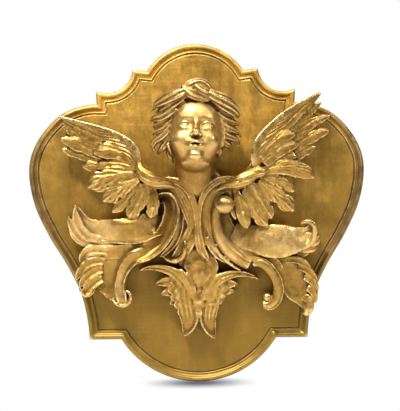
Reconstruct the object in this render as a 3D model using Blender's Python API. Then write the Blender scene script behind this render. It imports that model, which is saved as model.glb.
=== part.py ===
"""A gilded carved cherub plaque: a shaped, moulded board with one carving laid on its face.

Frame: x to the viewer's right, z up, the front faces -y. The back of the board is the plane
y = 0 and the origin lies on it, in the middle of the board. Places in the carving are given
on the layout grid (column, row) with a height in millimetres over the board's flat field.
"""
import math

import bmesh
import bpy
import numpy as np

# ---------------------------------------------------------------- driving dimensions (metres unless named mm)
PANEL_WIDTH = 0.600            # widest part of the shaped board
GRID = PANEL_WIDTH / 334.8     # one step of the layout grid, 1.792 mm
COL0, ROW0 = 197.0, 212.7      # grid place of the middle of the board
EYE_COL, EYE_ROW = 200.0, 205.5  # grid place straight before the eye
SIGHT = 3.2                    # the layout is drawn as seen from this far
LAY_TURN = math.radians(0.75)  # the layout grid sits this far off square to the board
FIELD = 0.026                  # thickness of the board at its flat field
RIM = 0.032                    # height of the moulded rim
GROOVE = 0.0243                # bottom of the quirk beside the field
CLEAR = 0.0003                 # fitting gap between carving and board
MM = 0.001

# Half outline of the board, in grid steps from its middle (right side, y up).
ARCH_TOP, ARCH_HALF, ARCH_FOOT = 168.7, 48.2, 142.2   # round head
STEP_X, STEP_Y = 63.0, 144.0                          # small level step beside it
SWEEP_X, SWEEP_Y, SWEEP_R = 88.0, 146.0, 25.4         # hollow quarter round
HORN_X, HORN_Y, HORN_FOOT = 100.0, 122.7, 109.5       # horn and the drop under it
SHOULDER = ((99.0, 109.5), (114.0, 107.8), (135.0, 99.3), (153.5, 81.0), (164.0, 62.0),
            (167.4, 43.0), (162.5, 10.7), (148.0, -21.8), (130.0, -52.0), (117.5, -78.0),
            (111.5, -102.0), (109.0, -125.6))
LOBE_X, LOBE_Y, LOBE_LOW = 77.3, -125.6, -168.7       # round foot


# ---------------------------------------------------------------- curves and grids
def smooth(t):
    t = np.clip(t, 0.0, 1.0)
    return t * t * (3.0 - 2.0 * t)


def through(rows, n):
    """A smooth curve through the rows (first three columns are a place in mm), n even steps."""
    p = np.array(rows, float)
    if len(p) == 2:
        t = np.linspace(0.0, 1.0, n)[:, None]
        return p[0] * (1.0 - t) + p[1] * t
    d = np.sqrt(np.maximum(np.linalg.norm(np.diff(p[:, :3], axis=0), axis=1), 1e-6))
    t = np.concatenate([[0.0], np.cumsum(d)])
    m = np.gradient(p, t, axis=0, edge_order=2)
    q = np.linspace(0.0, t[-1], 24 * len(p))
    k = np.clip(np.searchsorted(t, q, side="right") - 1, 0, len(p) - 2)
    h = (t[k + 1] - t[k])[:, None]
    u = ((q - t[k])[:, None]) / h
    c = ((2 * u**3 - 3 * u**2 + 1) * p[k] + (u**3 - 2 * u**2 + u) * h * m[k]
         + (3 * u**2 - 2 * u**3) * p[k + 1] + (u**3 - u**2) * h * m[k + 1])
    run = np.concatenate([[0.0], np.cumsum(np.linalg.norm(np.diff(c[:, :3], axis=0), axis=1))])
    even = np.linspace(0.0, run[-1], n)
    return np.stack([np.interp(even, run, c[:, j]) for j in range(c.shape[1])], axis=1)


def place(col, row, h):
    """Grid column, row and height over the field (mm) as a place in mm: x right, y to the wall, z up."""
    k = 1.0 - (h * MM) / SIGHT
    col = EYE_COL + (np.asarray(col, float) - EYE_COL) * k
    row = EYE_ROW + (np.asarray(row, float) - EYE_ROW) * k
    dx, dz = col - COL0, ROW0 - row
    c, s = math.cos(LAY_TURN), math.sin(LAY_TURN)
    g = GRID / MM
    return np.stack([(dx * c + dz * s) * g, -(FIELD / MM) - np.asarray(h, float) + 0.0 * dx,
                     (-dx * s + dz * c) * g], axis=-1)


def stations(rows, n):
    """Rows (col, row, h, more...) as n even steps along a smooth curve in mm."""
    r = np.array(rows, float)
    p = place(r[:, 0], r[:, 1], r[:, 2])
    return through(np.concatenate([p, r[:, 3:]], axis=1), n)


def frames(c, up=(0.0, -1.0, 0.0)):
    """Tangent, left and up vectors that turn as little as they can along the curve."""
    t = np.gradient(c, axis=0)
    t /= np.maximum(np.linalg.norm(t, axis=1), 1e-9)[:, None]
    u = np.zeros_like(t)
    now = np.array(up, float)
    for i in range(len(t)):
        now = now - np.dot(now, t[i]) * t[i]
        now /= max(np.linalg.norm(now), 1e-9)
        u[i] = now
    return t, np.cross(u, t), u


class Clay:
    """Closed shapes heaped together, in mm; one skin is drawn over them afterwards."""

    def __init__(self):
        self.points, self.faces, self.n = [], [], 0

    def add(self, points, faces):
        self.points.append(np.asarray(points, float))
        self.faces.extend([tuple(int(i) + self.n for i in f) for f in faces])
        self.n += len(points)

    def tube(self, rings):
        """A closed tube through rings (n, k, 3), with flat ends."""
        n, k = rings.shape[:2]
        faces = []
        for i in range(n - 1):
            for j in range(k):
                a, b = i * k + j, i * k + (j + 1) % k
                faces.append((a, b, b + k, a + k))
        faces.append(tuple(range(k))[::-1])
        faces.append(tuple(range((n - 1) * k, n * k)))
        self.add(rings.reshape(-1, 3), faces)

    def blade(self, rows, relief=None, cut=None, thick=9.0, edge=2.0, base=None, along=None,
              across=None, up=(0.0, -1.0, 0.0), blunt=0.25, wide=1.0):
        """A leaf-like solid. Rows: col, row, h, left and right half width (grid steps),
        roll (degrees, left edge up), camber (mm). The front follows relief(t, s), s = +1 at
        the left edge; the edges are cut by cut(t, side). Behind it is `thick` mm, or stands on
        the height `base`."""
        along = along or ALONG
        across = across or ACROSS
        r = [tuple(x) + (0.0,) * (7 - len(x)) for x in rows]
        c = stations(r, along)
        t = np.linspace(0.0, 1.0, along)
        _, left, u = frames(c[:, :3], up)
        roll = np.radians(c[:, 5])[:, None]
        left, u = left * np.cos(roll) + u * np.sin(roll), u * np.cos(roll) - left * np.sin(roll)
        g = GRID / MM
        span = {1: c[:, 3] * g * wide, -1: c[:, 4] * g * wide}
        end = np.sqrt(np.clip(1.0 - np.clip((t - (1.0 - blunt)) / blunt, 0.0, 1.0) ** 2, 0.0, 1.0)) if blunt > 0 else 1.0
        for k in (1, -1):
            m = cut(t, k) if cut else 1.0
            span[k] = np.maximum(span[k] * end * m, 0.5)
        s = np.linspace(1.0, -1.0, across)
        half = np.where(s[None, :] >= 0, span[1][:, None], span[-1][:, None])
        side = s[None, :] * half
        rise = c[:, 6][:, None] * (1.0 - s[None, :] ** 2)
        if relief is not None:
            rise = rise + relief(t[:, None], s[None, :])
        fade = np.minimum(1.0, (np.minimum(span[1], span[-1]) / 3.0))[:, None]
        top = c[:, None, :3] + side[..., None] * left[:, None, :] + (rise * fade)[..., None] * u[:, None, :]
        inner = s[::-1]
        depth = edge + (thick - edge) * smooth((1.0 - np.abs(inner)) / 0.55)
        under = top[:, ::-1, :] - (depth[None, :] * np.maximum(fade, 0.45))[..., None] * u[:, None, :]
        under = under - (inner * 0.12)[None, :, None] * half[:, ::-1, None] * left[:, None, :]
        if base is not None:
            deep = smooth((1.0 - np.abs(inner)) / 0.45)[None, :]
            y = -(FIELD / MM) - base
            under[..., 1] = under[..., 1] * (1.0 - deep) + np.maximum(y, under[..., 1]) * deep
        self.tube(np.concatenate([top, under], axis=1))

    def lock(self, rows, strands=7, groove=0.2, twist=0.6, along=None, around=None,
             up=(0.0, -1.0, 0.0), flat=0.7, raw=False):
        """A tapering lock of hair. Rows: col, row, h, half width (grid steps), roll; raw rows
        start with a place in mm instead."""
        along = along or ALONG
        around = around or AROUND
        r = [tuple(x) + (0.0,) * (5 - len(x)) for x in rows]
        c = through(r, along) if raw else stations(r, along)
        t = np.linspace(0.0, 1.0, along)[:, None]
        _, left, u = frames(c[:, :3], up)
        roll = np.radians(c[:, 4])[:, None]
        left, u = left * np.cos(roll) + u * np.sin(roll), u * np.cos(roll) - left * np.sin(roll)
        a = np.linspace(0.0, 2.0 * math.pi, around, endpoint=False)[None, :]
        w = np.abs(np.sin(0.5 * strands * (a + twist * t) + 0.7))
        k = 1.0 - groove * (1.0 - w) ** 1.5
        rad = np.maximum(c[:, 3][:, None] * GRID / MM, 0.5)
        x, y = rad * k * np.cos(a), rad * k * flat * np.sin(a)
        self.tube(c[:, None, :3] + x[..., None] * left[:, None, :] + y[..., None] * u[:, None, :])

    def ball(self, col, row, h, rx, ry, rz, turn=0.0, n=None):
        """An ellipsoid; rx across and rz up in grid steps, ry in mm towards the eye."""
        n = n or 2 * ROUND
        c = place(col, row, h)
        g = GRID / MM
        v = np.linspace(0.02, math.pi - 0.02, n)[:, None]
        a = np.linspace(0.0, 2.0 * math.pi, 2 * n, endpoint=False)[None, :]
        p = np.stack([rx * g * np.sin(v) * np.cos(a), ry * np.cos(v) + 0.0 * a, rz * g * np.sin(v) * np.sin(a)], axis=-1)
        k = math.radians(turn)
        q = p.copy()
        q[..., 0] = p[..., 0] * math.cos(k) - p[..., 2] * math.sin(k)
        q[..., 2] = p[..., 0] * math.sin(k) + p[..., 2] * math.cos(k)
        self.tube(q + c)

    def mesh(self, name):
        me = bpy.data.meshes.new(name)
        me.from_pydata((np.concatenate(self.points) * MM).tolist(), [], self.faces)
        me.update()
        return me


def ridged(fingers, lag=0.9, groove=1.6, rib=1.6, start=0.25, fine=0, fine_deep=0.5, valley=0.0):
    """Front of a vane or leaf: a rib down the middle and grooves that run out from it."""
    def relief(t, s):
        a = np.abs(s)
        q = fingers * t - lag * a + 0.15
        on = smooth((t - start) / 0.2) * smooth(a / 0.35)
        z = -groove * (1.0 - np.abs(np.sin(math.pi * q))) ** 2 * on
        z = z + rib * np.exp(-(s / 0.10) ** 2) * (1.0 - 0.75 * t)
        z = z - valley * np.exp(-((a - 0.32) / 0.2) ** 2)
        if fine and FINE:
            z = z - fine_deep * (0.5 + 0.5 * np.cos(fine * math.pi * q)) * smooth((a - 0.1) / 0.2) * on
        return z
    return relief


def fingered(fingers, lag=0.9, deep=0.3, start=0.3, only=0):
    """Edges cut into rounded fingers that match the grooves of ridged()."""
    def cut(t, side):
        if only and side != only:
            return 1.0 + 0.0 * t
        q = fingers * t - lag + 0.15
        on = smooth((t - start) / 0.15)
        return 1.0 - deep * (1.0 - np.abs(np.sin(math.pi * q))) ** 1.4 * on
    return cut


# ---------------------------------------------------------------- head
HEAD_COL, HEAD_ROW, HEAD_H = 196.0, 133.0, 62.0
HEAD_BACK, HEAD_LEAN = math.radians(17.0), math.radians(2.5)  # tilted back, leaning a little


def blend(a, b, k):
    h = np.clip(0.5 + 0.5 * (b - a) / k, 0.0, 1.0)
    return b * (1.0 - h) + a * h - k * h * (1.0 - h)


def carve(a, b, k):
    return -blend(-a, b, k)


def egg(p, centre, radii):
    q = (p - np.array(centre, np.float32)) / np.array(radii, np.float32)
    k = np.sqrt((q * q).sum(-1))
    m = q / np.array(radii, np.float32)
    return k * (k - 1.0) / np.maximum(np.sqrt((m * m).sum(-1)), 1e-6)


def rod(p, a, b, ra, rb):
    a, b = np.array(a, np.float32), np.array(b, np.float32)
    t = np.clip(((p - a) @ (b - a)) / float((b - a) @ (b - a)), 0.0, 1.0)
    return np.linalg.norm(p - a - t[..., None] * (b - a), axis=-1) - (ra + (rb - ra) * t)


def head_field(p):
    """A calm child's head, mm; x to the side, y forward out of the face, z to the crown."""
    x = np.abs(p[..., 0])
    m = p.copy()
    m[..., 0] = x                                    # one side is worked, the other mirrors it
    d = egg(m, (0, -6, 12), (49, 54, 58))            # skull
    d = blend(d, egg(m, (0, 9, -24), (38, 38, 44)), 14.0)   # jaw
    d = blend(d, egg(m, (0, 27, 22), (37, 25, 29)), 12.0)    # forehead
    d = blend(d, egg(m, (23, 27.5, -23), (18.5, 17.5, 18)), 9.0)  # cheeks
    d = blend(d, egg(m, (0, 38, -54), (12.5, 10.5, 9.5)), 7.0)    # chin
    d = blend(d, egg(m, (0, 14, -62), (24, 20, 9)), 9.0)     # soft under-chin
    d = blend(d, rod(m, (0, -20, -40), (0, -84, -92), 34.5, 36), 8.0)  # neck
    d = blend(d, rod(m, (7, 46.0, 12), (27, 40.5, 12.5), 4.4, 3.2), 6.0)  # brow
    d = carve(d, egg(m, (18.5, 54.5, -0.5), (13.2, 10.5, 8.8)), 4.0)    # eye hollow
    d = carve(d, egg(m, (7, 57.5, 1), (5, 8, 8)), 4.0)
    d = blend(d, rod(m, (0, 46.5, 8), (0, 56.2, -15), 3.8, 5.2), 4.5)  # bridge of the nose
    d = blend(d, egg(m, (0, 57.6, -18.6), (6.6, 6.8, 5.8)), 3.0)
    d = blend(d, egg(m, (7.0, 52.4, -19.6), (4.4, 5.6, 4.5)), 1.8)  # wings of the nose
    d = carve(d, egg(m, (3.7, 56.4, -24.6), (2.2, 4.0, 2.8)), 0.9)  # nostrils
    ex, ey, ez = x - 18.5, m[..., 1] - 37.5, m[..., 2] + 1.5
    r = np.sqrt(ex * ex + ey * ey + ez * ez)
    d = np.minimum(d, r - 9.8)                               # eyes
    slant = ez - 0.06 * ex
    almond = np.maximum(np.hypot(ex, slant + 8.2), np.hypot(ex, slant - 7.4)) - 12.8
    lids = carve(r - 12.0, almond, 0.7)
    lids = np.maximum(lids, 6.0 - r)
    d = blend(d, lids, 1.6)
    crease = np.abs(np.hypot(ex, slant + 9.2) - 16.8) - 0.7       # fold over the upper lid
    crease = np.maximum(np.maximum(crease, np.abs(r - 11.8) - 1.8), -slant)
    d = carve(d, crease, 0.9)
    iris = np.abs(np.hypot(ex, ez) - 4.4) - 0.5
    d = carve(d, np.maximum(iris, np.abs(r - 9.8) - 0.9), 0.4)
    d = carve(d, egg(m, (18.5, 47.6, -1.5), (1.9, 2.2, 1.9)), 0.4)   # pupil
    d = blend(d, egg(m, (0, 41.5, -35), (17, 11.4, 12)), 5.0)        # round the mouth
    d = blend(d, rod(m, (1.8, 52.0, -33.0), (11.4, 46.2, -36.2), 3.2, 1.5), 1.2)   # upper lip
    d = blend(d, rod(m, (0, 50.8, -41.6), (9.6, 46.0, -39.0), 3.7, 1.8), 1.2)      # lower lip
    d = carve(d, egg(m, (0, 50.8, -37.3), (9.4, 9.0, 2.1)), 0.7)    # parted lips
    d = carve(d, egg(m, (0, 54.0, -28.6), (1.9, 3.0, 4.4)), 1.4)    # groove under the nose
    d = carve(d, egg(m, (0, 52.4, -48.2), (10, 4.6, 2.8)), 3.4)     # over the chin
    d = carve(d, egg(m, (13.8, 48.0, -36.4), (1.7, 2.6, 2.4)), 1.8) # corners of the mouth
    ear = egg(m, (47.5, -8, -8), (5.5, 10, 14))
    ear = carve(ear, egg(m, (53.0, -5, -7), (4.0, 5.5, 8.5)), 2.0)
    d = blend(d, ear, 3.0)
    return d


def hair_field(p):
    """The close mass of hair the locks spring from."""
    x, y, z = p[..., 0], p[..., 1], p[..., 2]
    cap = egg(p, (0, -8, 12), (55.0, 57, 61))
    wave = 1.6 * np.cos(np.arctan2(z - 12.0, x) * 26.0 + 0.05 * y)  # strands of the close hair
    front = (y - 24.0) + 0.75 * (34.0 - z) - 0.006 * x * x      # hairline leans back at the temples
    return np.maximum(cap + wave, front)


def drawn(field, step):
    """Closed surface where the sampled field turns negative: points (grid steps) and quads."""
    f = field
    into = f < 0
    c = [(i, j, k) for i in (0, 1) for j in (0, 1) for k in (0, 1)]
    sh = tuple(n - 1 for n in f.shape)
    part = lambda a, o: a[o[0]:o[0] + sh[0], o[1]:o[1] + sh[1], o[2]:o[2] + sh[2]]
    total = sum(part(into, o).astype(np.int8) for o in c)
    cells = np.argwhere((total > 0) & (total < 8))
    index = -np.ones(sh, np.int64)
    index[tuple(cells.T)] = np.arange(len(cells))
    spot, hits = np.zeros((len(cells), 3)), np.zeros(len(cells))
    for a in c:
        for axis in range(3):
            if a[axis]:
                continue
            b = list(a)
            b[axis] = 1
            fa = f[tuple((cells + a).T)]
            fb = f[tuple((cells + b).T)]
            cross = (fa < 0) != (fb < 0)
            t = np.where(cross, fa / np.where(cross, fa - fb, 1.0), 0.0)
            p = np.array(a, float)[None, :] + np.zeros((len(cells), 3))
            p[:, axis] += t
            spot += p * cross[:, None]
            hits += cross
    points = cells + spot / np.maximum(hits, 1)[:, None]
    quads = []
    for axis in range(3):
        u, v = (axis + 1) % 3, (axis + 2) % 3
        lo = [slice(None)] * 3
        hi = [slice(None)] * 3
        lo[axis], hi[axis] = slice(0, -1), slice(1, None)
        change = into[tuple(lo)] != into[tuple(hi)]
        at = np.argwhere(change)
        keep = (at[:, u] > 0) & (at[:, v] > 0) & (at[:, u] < f.shape[u] - 1) & (at[:, v] < f.shape[v] - 1)
        at = at[keep]
        out = into[tuple(lo)][tuple(at.T)]
        ring = []
        for du, dv in ((1, 1), (0, 1), (0, 0), (1, 0)):
            o = at.copy()
            o[:, u] -= du
            o[:, v] -= dv
            ring.append(index[tuple(o.T)])
        ring = np.stack(ring, axis=1)
        ring[~out] = ring[~out][:, ::-1]
        quads.append(ring)
    return points * step, np.concatenate(quads)


def head_axes():
    cb, sb = math.cos(HEAD_BACK), math.sin(HEAD_BACK)
    side, fore, top = np.array((1.0, 0, 0)), np.array((0, -cb, sb)), np.array((0, sb, cb))
    cl, sl = math.cos(HEAD_LEAN), math.sin(HEAD_LEAN)
    turn = np.array(((cl, 0, sl), (0, 1, 0), (-sl, 0, cl)))
    return np.stack([turn @ side, turn @ fore, turn @ top])


def put_head(clay, step):
    axes = head_axes()
    centre = place(HEAD_COL, HEAD_ROW, HEAD_H)
    low, high = np.array((-66.0, -94.0, -128.0)), np.array((66.0, 72.0, 84.0))
    n = np.ceil((high - low) / step).astype(int)
    grid = np.stack(np.meshgrid(*[low[i] + step * np.arange(n[i]) for i in range(3)], indexing="ij"), axis=-1).astype(np.float32)
    f = np.minimum(head_field(grid), hair_field(grid)).astype(np.float64)
    for axis in range(3):                              # shut the neck where the box ends
        for end in (0, -1):
            s = [slice(None)] * 3
            s[axis] = end
            f[tuple(s)] = np.maximum(f[tuple(s)], 0.5)
    p, q = drawn(f, step)
    clay.add((p + low) @ axes + centre, q.tolist())


# ---------------------------------------------------------------- the carving, piece of ornament by piece
def put_hair(clay):
    """The locks that stand out round the face, then rows of locks over the rest."""
    L = clay.lock
    # forelock, rolled over the brow
    L([(213, 97.0, 92, 1.5), (206.5, 98.4, 95, 3.4), (198, 96.6, 97, 4.4), (190, 92.4, 98, 4.8), (185, 88.0, 95, 3.8), (182, 84.5, 91, 1.6)], strands=5, groove=0.5, flat=0.9)
    L([(182.5, 91, 90, 2.2), (189, 86, 93, 5.0), (197, 83.2, 93, 5.4), (203.5, 84.4, 93, 5.0), (208.5, 89, 93, 4.2), (214, 94.5, 91, 2.0)], strands=6, groove=0.46, flat=0.9)
    L([(195, 84.5, 96, 2.6), (200.0, 89.4, 99, 3.8), (206.5, 93.5, 98, 4.0), (214.5, 97.5, 93, 2.4)], strands=5, groove=0.5, flat=0.9)
    # on the left, from the parting down
    for rows in ([(189, 91, 94, 5), (181, 94, 93, 7), (171, 98, 87, 7.4), (162, 102, 77, 6), (155, 106, 67, 3.4), (153, 110.5, 60, 1.2)],
                 [(184, 99, 92, 4), (175, 104, 85, 6), (166, 109, 75, 5.5), (159, 112, 65, 3), (156, 114, 60, 1.0)],
                 [(177, 108, 86, 4), (170, 113, 79, 6), (161, 117, 69, 6), (153.5, 118.5, 59, 3.8), (150.5, 121.5, 53, 1.2)],
                 [(173, 117, 76, 4), (165, 122, 69, 5), (157, 124.5, 59, 3.8), (153, 128, 52, 1.2)],
                 [(172, 122, 74, 3.5), (165, 128, 67, 5), (157, 131, 58, 3.8), (152.5, 134.5, 50, 1.2)],
                 [(170, 130, 70, 3.5), (163, 136, 63, 5), (155.5, 141, 54, 4.2), (152.5, 147, 48, 2.8), (156, 152.5, 44, 1.0)],
                 [(170, 138, 64, 3.5), (165, 145, 57, 4.5), (160, 151, 48, 3.2), (158, 154.5, 44, 1.0)],
                 [(169, 146, 54, 3), (169.5, 154, 48, 3.5), (172, 161, 42, 2.0), (173.5, 163.5, 38, 0.9)],
                 # and on the right
                 [(209, 93, 96, 5), (216, 97, 95, 7), (225, 102, 87, 7.4), (233, 108, 77, 6), (237.5, 114, 67, 3.8), (237.5, 118.5, 60, 1.2)],
                 [(213, 99, 94, 4), (221, 105, 87, 5.5), (229, 111, 77, 5), (235, 117.5, 66, 1.6)],
                 [(217, 112, 84, 4), (222, 117, 77, 5), (229, 121, 67, 5), (236, 123.5, 57, 2.8), (238.5, 126, 50, 1.0)],
                 [(219, 120, 76, 4), (226, 126, 69, 5.2), (233, 130, 59, 4.5), (239, 134, 50, 2.0), (240.5, 137.5, 46, 0.9)],
                 [(220, 128, 70, 4), (226, 134, 63, 5.4), (233, 138, 54, 4.4), (238.5, 143, 46, 2.0), (237, 147.5, 42, 0.9)],
                 [(220, 136, 64, 4), (224.5, 142, 57, 5), (230, 147, 48, 3.4), (232, 151.5, 42, 1.0)],
                 [(218, 144, 54, 3), (219.5, 151, 48, 3.8), (219, 158, 42, 1.6)]):
        L([(*r[:3], 0.9 * r[3]) for r in rows], strands=6, groove=0.48, flat=0.9)
    # rows of locks over the close hair: hairline, crown and, plainer, towards the board
    axes, centre = head_axes(), place(HEAD_COL, HEAD_ROW, HEAD_H)
    rng = np.random.default_rng(11)
    for first, count, low, high, reach, lift, wide in ((6, 13, 8.0, 172.0, 34.0, 4.0, 4.6), (26, 15, -20.0, 200.0, 36.0, 7.0, 3.9),
                                                      (52, 15, -30.0, 210.0, 36.0, 10.0, 4.8), (78, 14, -34.0, 214.0, 32.0, 9.0, 4.8)):
        for i in range(count):
            a = low + (high - low) * (i + 0.5 * ((first // 26) % 2)) / (count - 1) + rng.uniform(-3, 3)
            start = 58.0 - 18.0 * math.sin(math.radians(max(a, 0.0) if a < 180 else 180.0)) + first
            swing = rng.uniform(5.0, 15.0) * (1 if a > 90 else -1) * (1 if rng.uniform() < 0.75 else -1)
            rows = []
            for k, w in ((0.0, 0.55), (0.28, 1.0), (0.6, 0.95), (0.85, 0.6), (1.0, 0.2)):
                th = math.radians(start + reach * k)
                ph = math.radians(a + swing * math.sin(2.6 * k) * 0.8)
                out = 1.0 + lift * (0.25 + 0.9 * k * k) / 58.0
                local = np.array((0, -8, 12)) + out * np.array((55.0 * math.sin(th) * math.cos(ph), 57.0 * math.cos(th), 61.0 * math.sin(th) * math.sin(ph)))
                rows.append((*(local @ axes + centre), wide * w))
            mid = np.array(rows[2][:3]) - centre
            L(rows, strands=7, groove=0.30, flat=0.75, raw=True, up=tuple(mid / np.linalg.norm(mid)))


def plume(clay, rows, barbs=3, lag=2.3, deep=2.0, shaft=1.3, lobes=0.13, thick=12.0, blunt=0.28):
    """One feather: a shaft, long barbs that leave it at a low angle, a lobed end."""
    broad = max(max(r[3], r[4]) for r in rows) * GRID / MM
    lag = min(lag, broad / 4.6)                        # barbs stay wide enough to carve
    lines = 2.0 * round(broad / lag / 3.9)
    clay.blade(rows, thick=thick, edge=3.2, along=150 if FINE else ALONG + 6, across=61 if FINE else ACROSS + 4, blunt=blunt,
               relief=ridged(barbs, lag, 1.2 * deep, shaft, start=0.02, fine=lines if lines > 2 else 0, fine_deep=1.3), cut=fingered(barbs, lag, lobes, start=0.45))


def arm_relief(side, n=12.0, lean=0.50, fall=9.0):
    """The arm of a wing: smooth along its edge, falling away in barbs on the feather side."""
    def relief(t, s):
        a = np.clip(side * s, 0.0, 1.0)
        q = (n if FINE else 7.0) * (t + lean * a)
        z = -fall * smooth((a - 0.2) / 0.8)
        on = smooth((a - 0.08) / 0.14) * smooth(t / 0.08)
        z = z - 3.4 * (0.5 + 0.5 * np.cos(2.0 * math.pi * q)) ** 1.5 * on
        return z + 1.0 * np.sin(2.0 * math.pi * q / 3.0) * on * smooth((a - 0.3) / 0.4)
    return relief


def put_left_wing(clay):
    B = clay.blade
    P = lambda rows, **k: plume(clay, rows, **k)
    # body of the wing, set back under the feathers
    B([(156, 192, 42, 10, 10), (140, 180, 46, 17, 14), (120, 166, 42, 20, 20), (100, 151, 33, 14, 17), (80, 137, 24, 7, 10)], thick=20, edge=8, base=-2, blunt=0.2)
    # arm, domed, with barbs running off it
    B([(58.5, 116.5, 28, 1, 1), (75, 121, 36, 1.5, 5), (91, 125.6, 43, 2.0, 10), (105, 130.2, 49, 2.6, 14), (118, 135.8, 55, 3.2, 18), (128.5, 143.5, 60, 4.2, 21), (135, 153, 62, 4.6, 21), (137, 163, 61, 4.4, 17), (138, 171, 58, 4.4, 11), (140, 177, 55, 3, 6)],
      thick=24, edge=7, along=260 if FINE else ALONG + 24, across=121 if FINE else ACROSS + 12, blunt=0.06, relief=arm_relief(-1))
    # shoulder
    clay.lock([(138.0, 157, 58, 1.6), (139.2, 165, 58, 4.0), (142.6, 172, 59, 6.2), (148.6, 177.8, 59, 7.6), (156, 181.6, 58, 7.4), (164, 183.6, 55, 5.8), (171, 186.0, 51, 3.6), (177, 188.8, 47, 1.6)], strands=9, groove=0.20, twist=2.4, flat=1.0)
    # long feathers
    P([(124, 143, 50, 4, 5), (104, 134.5, 44, 5, 5), (84, 127.0, 37, 4.6, 4.6), (69, 120.8, 31, 3.6, 3.6), (58.0, 116.0, 27, 1.6, 1.4)], barbs=5, lag=3.0)
    P([(122, 149, 48, 4, 4.5), (104, 141.0, 42, 5, 5), (86, 133.8, 35, 5, 5), (72, 127.8, 30, 4.4, 4.4), (62.0, 122.8, 26, 2.6, 2.6)], barbs=5, lag=3.0)
    P([(120, 155, 45, 4, 4.5), (102, 147.0, 40, 5, 5), (86, 140.0, 34, 5, 5), (74, 134.8, 29, 4.4, 4.4), (65.5, 130.4, 26, 2.6, 2.6)], barbs=5, lag=3.0)
    P([(120, 163, 42, 4, 5), (101, 154.5, 38, 5.4, 6.4), (85, 148.4, 34, 6.0, 6.4), (71, 142.4, 32, 6.6, 6.6, 0, 2), (60.5, 138.6, 30, 5.6, 5.6, 0, 2)], barbs=4, lag=2.6, lobes=0.2)
    P([(112, 166, 38, 3, 4), (97, 160.5, 34, 4.6, 5.0), (83, 155.8, 31, 5.0, 5.4), (71, 152.0, 28, 5.0, 5.2, 0, 1), (61.5, 149.0, 26, 3.8, 3.8, 0, 1)], barbs=4, lag=2.6, lobes=0.2)
    P([(112, 170, 39, 4, 4), (100, 167.5, 37, 5, 5), (90, 166.5, 34, 5.0, 5.0, 0, 1), (82, 166.0, 30, 4.0, 4.0)], lobes=0.2)
    # coverts
    P([(133, 160, 57, 4, 5), (121, 153.5, 54, 7, 8), (109, 150.5, 51, 8.6, 8.8, 0, 2), (99.5, 151.5, 47, 8.4, 8.4, 0, 3), (94.0, 153.5, 43, 5.4, 5.4, 0, 2)], barbs=3, lag=2.6, blunt=0.34)
    P([(133, 168, 57, 4, 5), (121, 164.5, 53, 6, 6.4), (110, 164.0, 48, 6.4, 6.4, 0, 1), (101, 166.5, 43, 5.6, 5.6, 0, 2), (96.5, 168.8, 39, 3.8, 3.8)], barbs=3, lag=2.6)
    # broad lower feathers
    P([(134, 172, 58, 4, 5), (119, 174.5, 54, 7.4, 8.4, 0, 2), (105, 178.5, 50, 9.8, 10.6, 0, 3), (95, 183.5, 47, 11, 10.6, 0, 4), (87.5, 188.0, 41, 7.4, 7.4, 0, 3)], barbs=3, lag=2.0, deep=2.6, lobes=0.26, thick=15, blunt=0.3)
    P([(138, 178, 58, 4, 5), (127, 184.5, 55, 7, 7.4, 0, 2), (116, 191.5, 51, 8.8, 9.0, 0, 3), (108, 197.5, 47, 8.6, 8.2, 0, 3), (103.0, 202.0, 41, 5.0, 5.4, 0, 2)], barbs=3, lag=2.0, deep=2.6, lobes=0.24, thick=14)
    P([(142, 184, 55, 3, 3.5), (132, 194.5, 51, 5.2, 5, 0, 1), (122.5, 203.8, 48, 6, 5.4, 0, 2), (115.5, 209.8, 45, 5.0, 4.6, 0, 2), (112.0, 213.0, 42, 2.8, 2.8)], lag=2.2, lobes=0.16)
    P([(146, 185, 57, 4, 4), (141, 196, 56, 6.8, 6.2, 0, 2), (135.5, 207.0, 54, 8.2, 7.8, 0, 3), (130.5, 215.0, 50, 7.2, 7.0, 0, 3), (129.0, 219.0, 46, 4.4, 4.4, 0, 2)], lag=2.2, deep=2.4, lobes=0.2)
    P([(151, 187, 55, 4, 4), (152.5, 198, 55, 6.4, 6.0, 0, 2), (152.5, 208.5, 54, 7.0, 6.6, 0, 3), (151.5, 215.5, 50, 5.6, 5.6, 0, 2), (151.0, 218.8, 46, 3.4, 3.4, 0, 2)], lag=2.2, deep=2.4, lobes=0.2)


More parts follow.
